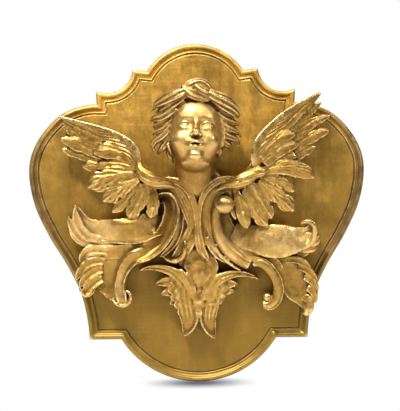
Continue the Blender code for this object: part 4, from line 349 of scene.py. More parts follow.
def drawn(field, step):
    """Closed surface where the sampled field turns negative: points (grid steps) and quads."""
    f = field
    into = f < 0
    c = [(i, j, k) for i in (0, 1) for j in (0, 1) for k in (0, 1)]
    sh = tuple(n - 1 for n in f.shape)
    part = lambda a, o: a[o[0]:o[0] + sh[0], o[1]:o[1] + sh[1], o[2]:o[2] + sh[2]]
    total = sum(part(into, o).astype(np.int8) for o in c)
    cells = np.argwhere((total > 0) & (total < 8))
    index = -np.ones(sh, np.int64)
    index[tuple(cells.T)] = np.arange(len(cells))
    spot, hits = np.zeros((len(cells), 3)), np.zeros(len(cells))
    for a in c:
        for axis in range(3):
            if a[axis]:
                continue
            b = list(a)
            b[axis] = 1
            fa = f[tuple((cells + a).T)]
            fb = f[tuple((cells + b).T)]
            cross = (fa < 0) != (fb < 0)
            t = np.where(cross, fa / np.where(cross, fa - fb, 1.0), 0.0)
            p = np.array(a, float)[None, :] + np.zeros((len(cells), 3))
            p[:, axis] += t
            spot += p * cross[:, None]
            hits += cross
    points = cells + spot / np.maximum(hits, 1)[:, None]
    quads = []
    for axis in range(3):
        u, v = (axis + 1) % 3, (axis + 2) % 3
        lo = [slice(None)] * 3
        hi = [slice(None)] * 3
        lo[axis], hi[axis] = slice(0, -1), slice(1, None)
        change = into[tuple(lo)] != into[tuple(hi)]
        at = np.argwhere(change)
        keep = (at[:, u] > 0) & (at[:, v] > 0) & (at[:, u] < f.shape[u] - 1) & (at[:, v] < f.shape[v] - 1)
        at = at[keep]
        out = into[tuple(lo)][tuple(at.T)]
        ring = []
        for du, dv in ((1, 1), (0, 1), (0, 0), (1, 0)):
            o = at.copy()
            o[:, u] -= du
            o[:, v] -= dv
            ring.append(index[tuple(o.T)])
        ring = np.stack(ring, axis=1)
        ring[~out] = ring[~out][:, ::-1]
        quads.append(ring)
    return points * step, np.concatenate(quads)


def head_axes():
    cb, sb = math.cos(HEAD_BACK), math.sin(HEAD_BACK)
    side, fore, top = np.array((1.0, 0, 0)), np.array((0, -cb, sb)), np.array((0, sb, cb))
    cl, sl = math.cos(HEAD_LEAN), math.sin(HEAD_LEAN)
    turn = np.array(((cl, 0, sl), (0, 1, 0), (-sl, 0, cl)))
    return np.stack([turn @ side, turn @ fore, turn @ top])


def put_head(clay, step):
    axes = head_axes()
    centre = place(HEAD_COL, HEAD_ROW, HEAD_H)
    low, high = np.array((-66.0, -94.0, -128.0)), np.array((66.0, 72.0, 84.0))
    n = np.ceil((high - low) / step).astype(int)
    grid = np.stack(np.meshgrid(*[low[i] + step * np.arange(n[i]) for i in range(3)], indexing="ij"), axis=-1).astype(np.float32)
    f = np.minimum(head_field(grid), hair_field(grid)).astype(np.float64)
    for axis in range(3):                              # shut the neck where the box ends
        for end in (0, -1):
            s = [slice(None)] * 3
            s[axis] = end
            f[tuple(s)] = np.maximum(f[tuple(s)], 0.5)
    p, q = drawn(f, step)
    clay.add((p + low) @ axes + centre, q.tolist())


# ---------------------------------------------------------------- the carving, piece of ornament by piece
def put_hair(clay):
    """The locks that stand out round the face, then rows of locks over the rest."""
    L = clay.lock
    # forelock, rolled over the brow
    L([(213, 97.0, 92, 1.5), (206.5, 98.4, 95, 3.4), (198, 96.6, 97, 4.4), (190, 92.4, 98, 4.8), (185, 88.0, 95, 3.8), (182, 84.5, 91, 1.6)], strands=5, groove=0.5, flat=0.9)
    L([(182.5, 91, 90, 2.2), (189, 86, 93, 5.0), (197, 83.2, 93, 5.4), (203.5, 84.4, 93, 5.0), (208.5, 89, 93, 4.2), (214, 94.5, 91, 2.0)], strands=6, groove=0.46, flat=0.9)
    L([(195, 84.5, 96, 2.6), (200.0, 89.4, 99, 3.8), (206.5, 93.5, 98, 4.0), (214.5, 97.5, 93, 2.4)], strands=5, groove=0.5, flat=0.9)
    # on the left, from the parting down
    for rows in ([(189, 91, 94, 5), (181, 94, 93, 7), (171, 98, 87, 7.4), (162, 102, 77, 6), (155, 106, 67, 3.4), (153, 110.5, 60, 1.2)],
                 [(184, 99, 92, 4), (175, 104, 85, 6), (166, 109, 75, 5.5), (159, 112, 65, 3), (156, 114, 60, 1.0)],
                 [(177, 108, 86, 4), (170, 113, 79, 6), (161, 117, 69, 6), (153.5, 118.5, 59, 3.8), (150.5, 121.5, 53, 1.2)],
                 [(173, 117, 76, 4), (165, 122, 69, 5), (157, 124.5, 59, 3.8), (153, 128, 52, 1.2)],
                 [(172, 122, 74, 3.5), (165, 128, 67, 5), (157, 131, 58, 3.8), (152.5, 134.5, 50, 1.2)],
                 [(170, 130, 70, 3.5), (163, 136, 63, 5), (155.5, 141, 54, 4.2), (152.5, 147, 48, 2.8), (156, 152.5, 44, 1.0)],
                 [(170, 138, 64, 3.5), (165, 145, 57, 4.5), (160, 151, 48, 3.2), (158, 154.5, 44, 1.0)],
                 [(169, 146, 54, 3), (169.5, 154, 48, 3.5), (172, 161, 42, 2.0), (173.5, 163.5, 38, 0.9)],
                 # and on the right
                 [(209, 93, 96, 5), (216, 97, 95, 7), (225, 102, 87, 7.4), (233, 108, 77, 6), (237.5, 114, 67, 3.8), (237.5, 118.5, 60, 1.2)],
                 [(213, 99, 94, 4), (221, 105, 87, 5.5), (229, 111, 77, 5), (235, 117.5, 66, 1.6)],
                 [(217, 112, 84, 4), (222, 117, 77, 5), (229, 121, 67, 5), (236, 123.5, 57, 2.8), (238.5, 126, 50, 1.0)],
                 [(219, 120, 76, 4), (226, 126, 69, 5.2), (233, 130, 59, 4.5), (239, 134, 50, 2.0), (240.5, 137.5, 46, 0.9)],
                 [(220, 128, 70, 4), (226, 134, 63, 5.4), (233, 138, 54, 4.4), (238.5, 143, 46, 2.0), (237, 147.5, 42, 0.9)],
                 [(220, 136, 64, 4), (224.5, 142, 57, 5), (230, 147, 48, 3.4), (232, 151.5, 42, 1.0)],
                 [(218, 144, 54, 3), (219.5, 151, 48, 3.8), (219, 158, 42, 1.6)]):
        L([(*r[:3], 0.9 * r[3]) for r in rows], strands=6, groove=0.48, flat=0.9)
    # rows of locks over the close hair: hairline, crown and, plainer, towards the board
    axes, centre = head_axes(), place(HEAD_COL, HEAD_ROW, HEAD_H)
    rng = np.random.default_rng(11)
    for first, count, low, high, reach, lift, wide in ((6, 13, 8.0, 172.0, 34.0, 4.0, 4.6), (26, 15, -20.0, 200.0, 36.0, 7.0, 3.9),
                                                      (52, 15, -30.0, 210.0, 36.0, 10.0, 4.8), (78, 14, -34.0, 214.0, 32.0, 9.0, 4.8)):
        for i in range(count):
            a = low + (high - low) * (i + 0.5 * ((first // 26) % 2)) / (count - 1) + rng.uniform(-3, 3)
            start = 58.0 - 18.0 * math.sin(math.radians(max(a, 0.0) if a < 180 else 180.0)) + first
            swing = rng.uniform(5.0, 15.0) * (1 if a > 90 else -1) * (1 if rng.uniform() < 0.75 else -1)
            rows = []
            for k, w in ((0.0, 0.55), (0.28, 1.0), (0.6, 0.95), (0.85, 0.6), (1.0, 0.2)):
                th = math.radians(start + reach * k)
                ph = math.radians(a + swing * math.sin(2.6 * k) * 0.8)
                out = 1.0 + lift * (0.25 + 0.9 * k * k) / 58.0
                local = np.array((0, -8, 12)) + out * np.array((55.0 * math.sin(th) * math.cos(ph), 57.0 * math.cos(th), 61.0 * math.sin(th) * math.sin(ph)))
                rows.append((*(local @ axes + centre), wide * w))
            mid = np.array(rows[2][:3]) - centre
            L(rows, strands=7, groove=0.30, flat=0.75, raw=True, up=tuple(mid / np.linalg.norm(mid)))


def plume(clay, rows, barbs=3, lag=2.3, deep=2.0, shaft=1.3, lobes=0.13, thick=12.0, blunt=0.28):
    """One feather: a shaft, long barbs that leave it at a low angle, a lobed end."""
    broad = max(max(r[3], r[4]) for r in rows) * GRID / MM
    lag = min(lag, broad / 4.6)                        # barbs stay wide enough to carve
    lines = 2.0 * round(broad / lag / 3.9)
    clay.blade(rows, thick=thick, edge=3.2, along=150 if FINE else ALONG + 6, across=61 if FINE else ACROSS + 4, blunt=blunt,
               relief=ridged(barbs, lag, 1.2 * deep, shaft, start=0.02, fine=lines if lines > 2 else 0, fine_deep=1.3), cut=fingered(barbs, lag, lobes, start=0.45))


def arm_relief(side, n=12.0, lean=0.50, fall=9.0):
    """The arm of a wing: smooth along its edge, falling away in barbs on the feather side."""
    def relief(t, s):
        a = np.clip(side * s, 0.0, 1.0)
        q = (n if FINE else 7.0) * (t + lean * a)
        z = -fall * smooth((a - 0.2) / 0.8)
        on = smooth((a - 0.08) / 0.14) * smooth(t / 0.08)
        z = z - 3.4 * (0.5 + 0.5 * np.cos(2.0 * math.pi * q)) ** 1.5 * on
        return z + 1.0 * np.sin(2.0 * math.pi * q / 3.0) * on * smooth((a - 0.3) / 0.4)
    return relief


def put_left_wing(clay):
    B = clay.blade
    P = lambda rows, **k: plume(clay, rows, **k)
    # body of the wing, set back under the feathers
    B([(156, 192, 42, 10, 10), (140, 180, 46, 17, 14), (120, 166, 42, 20, 20), (100, 151, 33, 14, 17), (80, 137, 24, 7, 10)], thick=20, edge=8, base=-2, blunt=0.2)
    # arm, domed, with barbs running off it
    B([(58.5, 116.5, 28, 1, 1), (75, 121, 36, 1.5, 5), (91, 125.6, 43, 2.0, 10), (105, 130.2, 49, 2.6, 14), (118, 135.8, 55, 3.2, 18), (128.5, 143.5, 60, 4.2, 21), (135, 153, 62, 4.6, 21), (137, 163, 61, 4.4, 17), (138, 171, 58, 4.4, 11), (140, 177, 55, 3, 6)],
      thick=24, edge=7, along=260 if FINE else ALONG + 24, across=121 if FINE else ACROSS + 12, blunt=0.06, relief=arm_relief(-1))
    # shoulder
    clay.lock([(138.0, 157, 58, 1.6), (139.2, 165, 58, 4.0), (142.6, 172, 59, 6.2), (148.6, 177.8, 59, 7.6), (156, 181.6, 58, 7.4), (164, 183.6, 55, 5.8), (171, 186.0, 51, 3.6), (177, 188.8, 47, 1.6)], strands=9, groove=0.20, twist=2.4, flat=1.0)
    # long feathers
    P([(124, 143, 50, 4, 5), (104, 134.5, 44, 5, 5), (84, 127.0, 37, 4.6, 4.6), (69, 120.8, 31, 3.6, 3.6), (58.0, 116.0, 27, 1.6, 1.4)], barbs=5, lag=3.0)
    P([(122, 149, 48, 4, 4.5), (104, 141.0, 42, 5, 5), (86, 133.8, 35, 5, 5), (72, 127.8, 30, 4.4, 4.4), (62.0, 122.8, 26, 2.6, 2.6)], barbs=5, lag=3.0)
    P([(120, 155, 45, 4, 4.5), (102, 147.0, 40, 5, 5), (86, 140.0, 34, 5, 5), (74, 134.8, 29, 4.4, 4.4), (65.5, 130.4, 26, 2.6, 2.6)], barbs=5, lag=3.0)
    P([(120, 163, 42, 4, 5), (101, 154.5, 38, 5.4, 6.4), (85, 148.4, 34, 6.0, 6.4), (71, 142.4, 32, 6.6, 6.6, 0, 2), (60.5, 138.6, 30, 5.6, 5.6, 0, 2)], barbs=4, lag=2.6, lobes=0.2)
    P([(112, 166, 38, 3, 4), (97, 160.5, 34, 4.6, 5.0), (83, 155.8, 31, 5.0, 5.4), (71, 152.0, 28, 5.0, 5.2, 0, 1), (61.5, 149.0, 26, 3.8, 3.8, 0, 1)], barbs=4, lag=2.6, lobes=0.2)
    P([(112, 170, 39, 4, 4), (100, 167.5, 37, 5, 5), (90, 166.5, 34, 5.0, 5.0, 0, 1), (82, 166.0, 30, 4.0, 4.0)], lobes=0.2)
    # coverts
    P([(133, 160, 57, 4, 5), (121, 153.5, 54, 7, 8), (109, 150.5, 51, 8.6, 8.8, 0, 2), (99.5, 151.5, 47, 8.4, 8.4, 0, 3), (94.0, 153.5, 43, 5.4, 5.4, 0, 2)], barbs=3, lag=2.6, blunt=0.34)
    P([(133, 168, 57, 4, 5), (121, 164.5, 53, 6, 6.4), (110, 164.0, 48, 6.4, 6.4, 0, 1), (101, 166.5, 43, 5.6, 5.6, 0, 2), (96.5, 168.8, 39, 3.8, 3.8)], barbs=3, lag=2.6)
    # broad lower feathers
    P([(134, 172, 58, 4, 5), (119, 174.5, 54, 7.4, 8.4, 0, 2), (105, 178.5, 50, 9.8, 10.6, 0, 3), (95, 183.5, 47, 11, 10.6, 0, 4), (87.5, 188.0, 41, 7.4, 7.4, 0, 3)], barbs=3, lag=2.0, deep=2.6, lobes=0.26, thick=15, blunt=0.3)
    P([(138, 178, 58, 4, 5), (127, 184.5, 55, 7, 7.4, 0, 2), (116, 191.5, 51, 8.8, 9.0, 0, 3), (108, 197.5, 47, 8.6, 8.2, 0, 3), (103.0, 202.0, 41, 5.0, 5.4, 0, 2)], barbs=3, lag=2.0, deep=2.6, lobes=0.24, thick=14)
    P([(142, 184, 55, 3, 3.5), (132, 194.5, 51, 5.2, 5, 0, 1), (122.5, 203.8, 48, 6, 5.4, 0, 2), (115.5, 209.8, 45, 5.0, 4.6, 0, 2), (112.0, 213.0, 42, 2.8, 2.8)], lag=2.2, lobes=0.16)
    P([(146, 185, 57, 4, 4), (141, 196, 56, 6.8, 6.2, 0, 2), (135.5, 207.0, 54, 8.2, 7.8, 0, 3), (130.5, 215.0, 50, 7.2, 7.0, 0, 3), (129.0, 219.0, 46, 4.4, 4.4, 0, 2)], lag=2.2, deep=2.4, lobes=0.2)
    P([(151, 187, 55, 4, 4), (152.5, 198, 55, 6.4, 6.0, 0, 2), (152.5, 208.5, 54, 7.0, 6.6, 0, 3), (151.5, 215.5, 50, 5.6, 5.6, 0, 2), (151.0, 218.8, 46, 3.4, 3.4, 0, 2)], lag=2.2, deep=2.4, lobes=0.2)


def put_right_wing(clay):
    B = clay.blade
    P = lambda rows, **k: plume(clay, rows, **k)
    B([(238, 192, 42, 9, 10), (254, 180, 46, 13, 16), (268, 163, 46, 13, 18), (286, 142, 38, 11, 16), (304, 121, 29, 6, 9)], thick=20, edge=8, base=-2, blunt=0.2)
    # arm
    B([(320.5, 92.6, 30, 1, 1), (308, 98.8, 38, 4.5, 1.2), (295, 105.8, 45, 9, 1.6), (283, 114.4, 51, 13, 2.2), (272, 124.8, 55, 16, 2.8), (262.5, 135.6, 59, 18, 3.6), (257.0, 146.5, 61, 18, 4.6), (255.6, 156.5, 60, 14, 5.0), (257.5, 165.0, 57, 9, 5.0), (260, 170.5, 54, 5, 4)],
      thick=24, edge=7, along=260 if FINE else ALONG + 24, across=121 if FINE else ACROSS + 12, blunt=0.06, relief=arm_relief(1))
    # shoulder, with the joint that stands out at its end
    clay.lock([(267.5, 170.5, 55, 2.2), (262, 171.5, 58, 5.0), (254.5, 173.5, 58, 5.8), (246, 178.4, 59, 7.2), (237, 183.0, 57, 6.6), (229.0, 185.4, 54, 5.0), (222.0, 187.6, 50, 3.2), (216, 190.6, 46, 1.6)], strands=9, groove=0.20, twist=-2.4, flat=0.95)
    # long feathers
    P([(268, 148, 52, 4, 5), (281, 131.0, 48, 5.6, 5, 0), (296, 115.5, 42, 6.0, 5, 0), (309, 103.5, 36, 5.4, 4.4, 0), (321.0, 93.5, 31, 2.0, 2.2)], barbs=5, lag=3.0)
    P([(271, 153, 50, 4, 4), (285, 136.5, 45, 4.6, 5, 0), (299, 121.5, 39, 5.0, 5.4, 0), (311, 110.5, 34, 4.8, 4.8, 0), (322.0, 101.5, 30, 2.8, 2.8)], barbs=5, lag=3.0)
    P([(272, 157, 47, 4, 4), (287, 142.5, 43, 5.4, 5.4, 0), (302, 129.6, 38, 5.6, 5.6, 0), (316, 121.0, 34, 5.4, 5.2, 0, 1), (330.5, 116.0, 29, 3.8, 3.8, 0, 1)], barbs=5, lag=3.0, lobes=0.16)
    P([(276, 161, 44, 4, 4), (291, 150.0, 40, 5.0, 5.4), (304, 141.0, 37, 5.4, 6.4), (317, 134.4, 34, 6.0, 6.4, 0, 2), (329.5, 130.5, 29, 4.8, 4.8, 0, 2)], barbs=4, lag=2.4, lobes=0.2)
    P([(278, 165, 41, 4, 4), (291, 159.0, 38, 5.0, 5.4), (301, 153.6, 36, 5.4, 5.6, 0, 1), (310, 149.0, 33, 5.0, 4.8, 0, 1), (316.0, 146.0, 30, 3.0, 3.0)], barbs=3, lag=2.2, lobes=0.26)
    # coverts
    P([(260, 157, 58, 4, 4), (270, 146.5, 56, 6, 6), (280, 138.5, 52, 6.6, 6.6, 0, 1), (290, 134.5, 47, 6, 6, 0, 2), (296, 134.5, 43, 4, 4, 0, 1)], barbs=3, lag=2.6)
    P([(264, 164, 57, 4, 4), (274, 154.5, 55, 6.4, 6.4), (284, 147.5, 51, 7.0, 7.0, 0, 2), (293, 145.0, 46, 6.4, 6.4, 0, 2), (298.5, 146.0, 42, 4, 4, 0, 1)], barbs=3, lag=2.6)
    P([(266, 168, 54, 4, 4), (277, 161.0, 51, 6, 6), (288, 156.6, 47, 6.2, 6.2, 0, 1), (297, 156.0, 42, 4.4, 4.4, 0, 1)], barbs=3, lag=2.6)
    # broad lower feathers
    P([(264, 171, 55, 3.6, 4.4), (279, 167.6, 53, 6.6, 7.0, 0, 2), (293, 168.2, 50, 8.2, 8.6, 0, 3), (305, 172.0, 46, 8.6, 8.2, 0, 3), (314.5, 177.8, 40, 5.4, 5.8, 0, 2)], barbs=4, lag=3.2, deep=2.2, lobes=0.1, thick=15)
    P([(262, 176, 53, 3, 4), (275, 179.5, 50, 6.0, 6.0, 0, 1), (286, 185.5, 46, 6.6, 6.4, 0, 2), (294, 192.0, 41, 4.6, 4.6, 0, 2)], barbs=3, lag=2.6, lobes=0.12)
    P([(259, 180, 55, 3.6, 4), (269, 188.0, 53, 7, 7, 0, 2), (279, 197.0, 51, 8.8, 8.4, 0, 3), (288.0, 205.5, 47, 9.0, 8.4, 0, 3), (294.0, 211.5, 42, 6.0, 6.0, 0, 2)], barbs=3, lag=2.0, deep=2.6, lobes=0.24, thick=15)
    P([(251, 184, 56, 3.6, 4), (258, 195.0, 54, 6.4, 6.4, 0, 2), (264.5, 205.5, 52, 7.4, 7.4, 0, 2), (269.5, 214.5, 49, 6.6, 6.6, 0, 3), (272.0, 219.5, 45, 4.0, 4.0, 0, 2)], lag=2.2, deep=2.4, lobes=0.22)
    P([(245, 188, 56, 3.6, 4), (250, 200.0, 55, 6.6, 6.0, 0, 2), (256, 212.0, 54, 8.2, 7.8, 0, 3), (263, 221.0, 51, 7.4, 7.2, 0, 3), (268, 226.0, 46, 4.2, 4.2, 0, 2)], lag=2.2, deep=2.4, lobes=0.24, thick=14)
    P([(236, 190, 55, 3, 3), (239.0, 202.0, 56, 5.4, 5.0, 0, 2), (242.5, 213.0, 57, 7.0, 6.4, 0, 3), (245.5, 222.5, 55, 5.8, 5.8, 0, 3), (247.5, 229.0, 49, 2.6, 2.6, 0, 1)], lag=2.6, deep=1.6, lobes=0.06, blunt=0.2)
    P([(230, 191, 51, 3, 3), (232.5, 203.0, 50, 4.4, 4.4), (234.5, 213.0, 48, 4.2, 4.2), (235.5, 220, 44, 2.2, 2.2)], lag=2.2)


def put_left_scroll(clay):
    B = clay.blade

    def band(t, s):
        top = 1.0 - smooth((t - 0.42) / 0.22)
        z = 1.6 * np.exp(-((s - 0.93) / 0.06) ** 2) - 1.4 * np.exp(-((s - 0.83) / 0.05) ** 2) + 1.0 * np.exp(-((s - 0.73) / 0.06) ** 2)
        z = z - 17.0 * top * np.clip(1.0 - ((s + 0.12) / 0.80) ** 2, 0.0, 1.0)
        z = z + (1.0 - top) * (5.5 * np.exp(-((s + 0.38) / 0.34) ** 2) - 2.4 * np.exp(-((s - 0.42) / 0.22) ** 2))
        return z
    B([(156, 205, 45, 4, 4), (160, 199.0, 49, 5.5, 5.5), (167, 199.2, 52, 7.6, 7), (171.5, 208, 52, 8.6, 8.6), (170.2, 219.5, 51, 9.2, 9.2),
       (165.5, 231.5, 50, 9.6, 9.4), (157.8, 242.4, 48, 9.8, 9.6), (147.2, 251.2, 45, 9.6, 9.8), (132.8, 257.0, 40, 8.8, 9.2),
       (124.6, 266.2, 36, 7.8, 8), (120.4, 276.4, 33, 6.6, 6.6), (118.6, 287.5, 32, 6.2, 6.2), (120.2, 297.5, 32, 7.4, 5.6), (122.0, 304.5, 30, 5, 4)],
      relief=band, thick=18, edge=5, base=-2, along=2 * ALONG, across=ACROSS + 10, blunt=0.03)
    clay.ball(123.6, 299.2, 22, 7.0, 12, 6.6)
    clay.lock([(112.5, 299.5, 27, 0.8), (117, 304.4, 30, 1.6), (122.5, 306.0, 32, 1.9), (128, 303.6, 33, 1.9), (130.8, 298.0, 34, 1.9), (129.2, 292.8, 34, 1.7), (126.2, 290.6, 32, 0.9)], strands=1, groove=0.0, flat=1.2)
    # second rim outside the band, with a hollow between the two
    B([(177.5, 203, 44, 1.6, 2), (180.2, 212, 45, 3.0, 3.4), (180.6, 222, 45, 3.2, 3.6), (178.6, 233, 44, 3.2, 3.6), (174.2, 243.0, 42, 3.0, 3.4), (167.5, 251.0, 39, 2.4, 3.0), (160, 257, 35, 1.4, 2.0)],
      relief=lambda t, s: 1.8 * np.exp(-((s - 0.8) / 0.22) ** 2) - 2.0 * np.exp(-((s + 0.1) / 0.4) ** 2), thick=12, edge=4, base=-2, blunt=0.1)
    # upper leaf: a broad smooth tongue that grows out of the band and turns up at its tip
    B([(162, 226.5, 33, 9, 11), (154, 227.6, 40, 10, 14, 0, 1), (144, 229.0, 44, 13.5, 16, 0, 3), (131, 230.8, 44, 13.4, 13.6, 0, 4), (119, 231.0, 40, 12.8, 12.2, -6, 3), (106, 230.6, 32, 12.0, 11.4, -8, 0),
       (95, 228.6, 27, 10.2, 9.4, -6, -4), (86, 223.5, 28, 9.0, 6.8, 0, -5), (80.0, 214.5, 35, 6.0, 4.4, 0, -4), (77.2, 206.0, 43, 3.4, 2.2)],
      relief=lambda t, s: 1.6 * np.exp(-((s - 0.93) / 0.06) ** 2) - 1.2 * np.exp(-((s - 0.80) / 0.07) ** 2) + 3.0 * np.exp(-((s + 0.55) / 0.3) ** 2) * np.exp(-((t - 0.33) / 0.14) ** 2)
      - 3.5 * np.exp(-((s + 0.1) / 0.5) ** 2) * smooth((0.25 - t) / 0.2),
      thick=14, edge=3.5, base=-2, along=ALONG + 14, across=ACROSS + 6, blunt=0.07)
    # its outer side, turned up in three ribs
    for r in ([(104, 240, 26, 2.6, 2.6), (92, 238.0, 27, 4.4, 4.2), (82.5, 230.0, 31, 5.0, 4.4, 0, 1), (77.0, 219.0, 36, 4.6, 4.0, 0, 1), (75.2, 210.0, 41, 2.8, 2.4), (75.6, 205.0, 44, 1.2, 1.2)],
              [(104, 243, 25, 2.4, 2.4), (90, 242.0, 26, 4.0, 4.0), (78.5, 234.6, 31, 4.8, 4.6, 0, 1), (71.4, 224.5, 36, 4.0, 4.0, 0, 1), (67.4, 215.6, 40, 1.4, 1.4)],
              [(106, 245.5, 24, 2.2, 2.2), (93, 245.4, 25, 3.2, 3.2), (81.5, 241.6, 28, 3.8, 3.8, 0, 1), (73.4, 234.6, 32, 3.4, 3.4), (69.2, 227.0, 34, 1.4, 1.4)]):
        B(r, thick=12, edge=3.4, base=6, relief=lambda t, s: 1.3 * np.exp(-((np.abs(s) - 0.78) / 0.18) ** 2) - 1.0 * np.exp(-(s / 0.3) ** 2), blunt=0.3)
    # lower leaf: a smooth shield that rises to the band, with curled lobes on its outer side
    B([(142, 245, 38, 5, 6), (130, 247.6, 35, 9, 9), (116, 250.0, 30, 9, 9), (103, 251.0, 26, 8, 8), (93, 252.0, 23, 5, 5)], thick=14, edge=5, base=-2, blunt=0.1)
    B([(134, 249, 37, 7, 6), (125, 255.0, 33, 9.5, 13, 0, -1), (116, 263.0, 29, 9, 20, 0, -3), (109.5, 274.5, 26, 10, 18.5, 0, -3.5), (108.2, 285.5, 25, 10.5, 11.5, 0, -3), (111.5, 295.0, 26, 8, 5.6, 0, -1), (117.0, 302.5, 27, 4.4, 2.4)],
      relief=lambda t, s: 3.4 * smooth((s - 0.25) / 0.7) + 1.2 * np.exp(-((s + 0.93) / 0.08) ** 2), thick=12, edge=3.0, base=-2, along=ALONG + 8, across=ACROSS + 4, blunt=0.1)
    rolled = lambda t, s: 1.6 * np.exp(-((np.abs(s) - 0.8) / 0.16) ** 2) - 1.6 * np.exp(-(s / 0.35) ** 2)
    B([(108, 252, 27, 3.6, 3.6), (98.0, 250.4, 29, 5.2, 5.2), (90.5, 250.6, 31, 5.6, 5.4), (84.5, 254.0, 32, 5.0, 4.6), (81.4, 259.5, 31, 3.4, 3.2), (80.8, 263.5, 29, 1.6, 1.6)], thick=12, edge=2.8, base=2, relief=rolled)
    B([(104, 262, 26, 3.6, 3.6), (95.5, 261.5, 28, 5.2, 5.0), (87.5, 264.5, 31, 5.0, 4.8), (81.0, 270.5, 33, 4.4, 4.2), (77.4, 277.0, 32, 2.8, 2.8), (76.4, 281.0, 30, 1.2, 1.2)], thick=11, edge=2.8, base=3, relief=rolled)
    B([(103, 270, 25, 3.6, 3.6), (95.5, 271.5, 28, 5.0, 4.8), (88.5, 276.0, 31, 4.8, 4.6), (82.6, 282.0, 32, 4.0, 3.8), (79.4, 287.5, 31, 1.8, 1.8)], thick=11, edge=2.8, base=6, relief=rolled)
    B([(103, 279, 25, 3.6, 3.6), (96.0, 281.5, 27, 5.2, 5.0), (89.6, 286.5, 29, 5.4, 5.2), (85.4, 291.5, 29, 4.2, 4.2), (84.4, 295.0, 27, 2.2, 2.2)], thick=10, edge=2.8, base=8, relief=rolled)
    clay.lock([(79.6, 286.5, 29, 0.8), (81.2, 291.8, 30, 1.4), (86.2, 295.8, 30, 1.6), (91.6, 293.6, 29, 1.6), (94.0, 288.0, 28, 1.0)], strands=1, groove=0.0, flat=1.0)


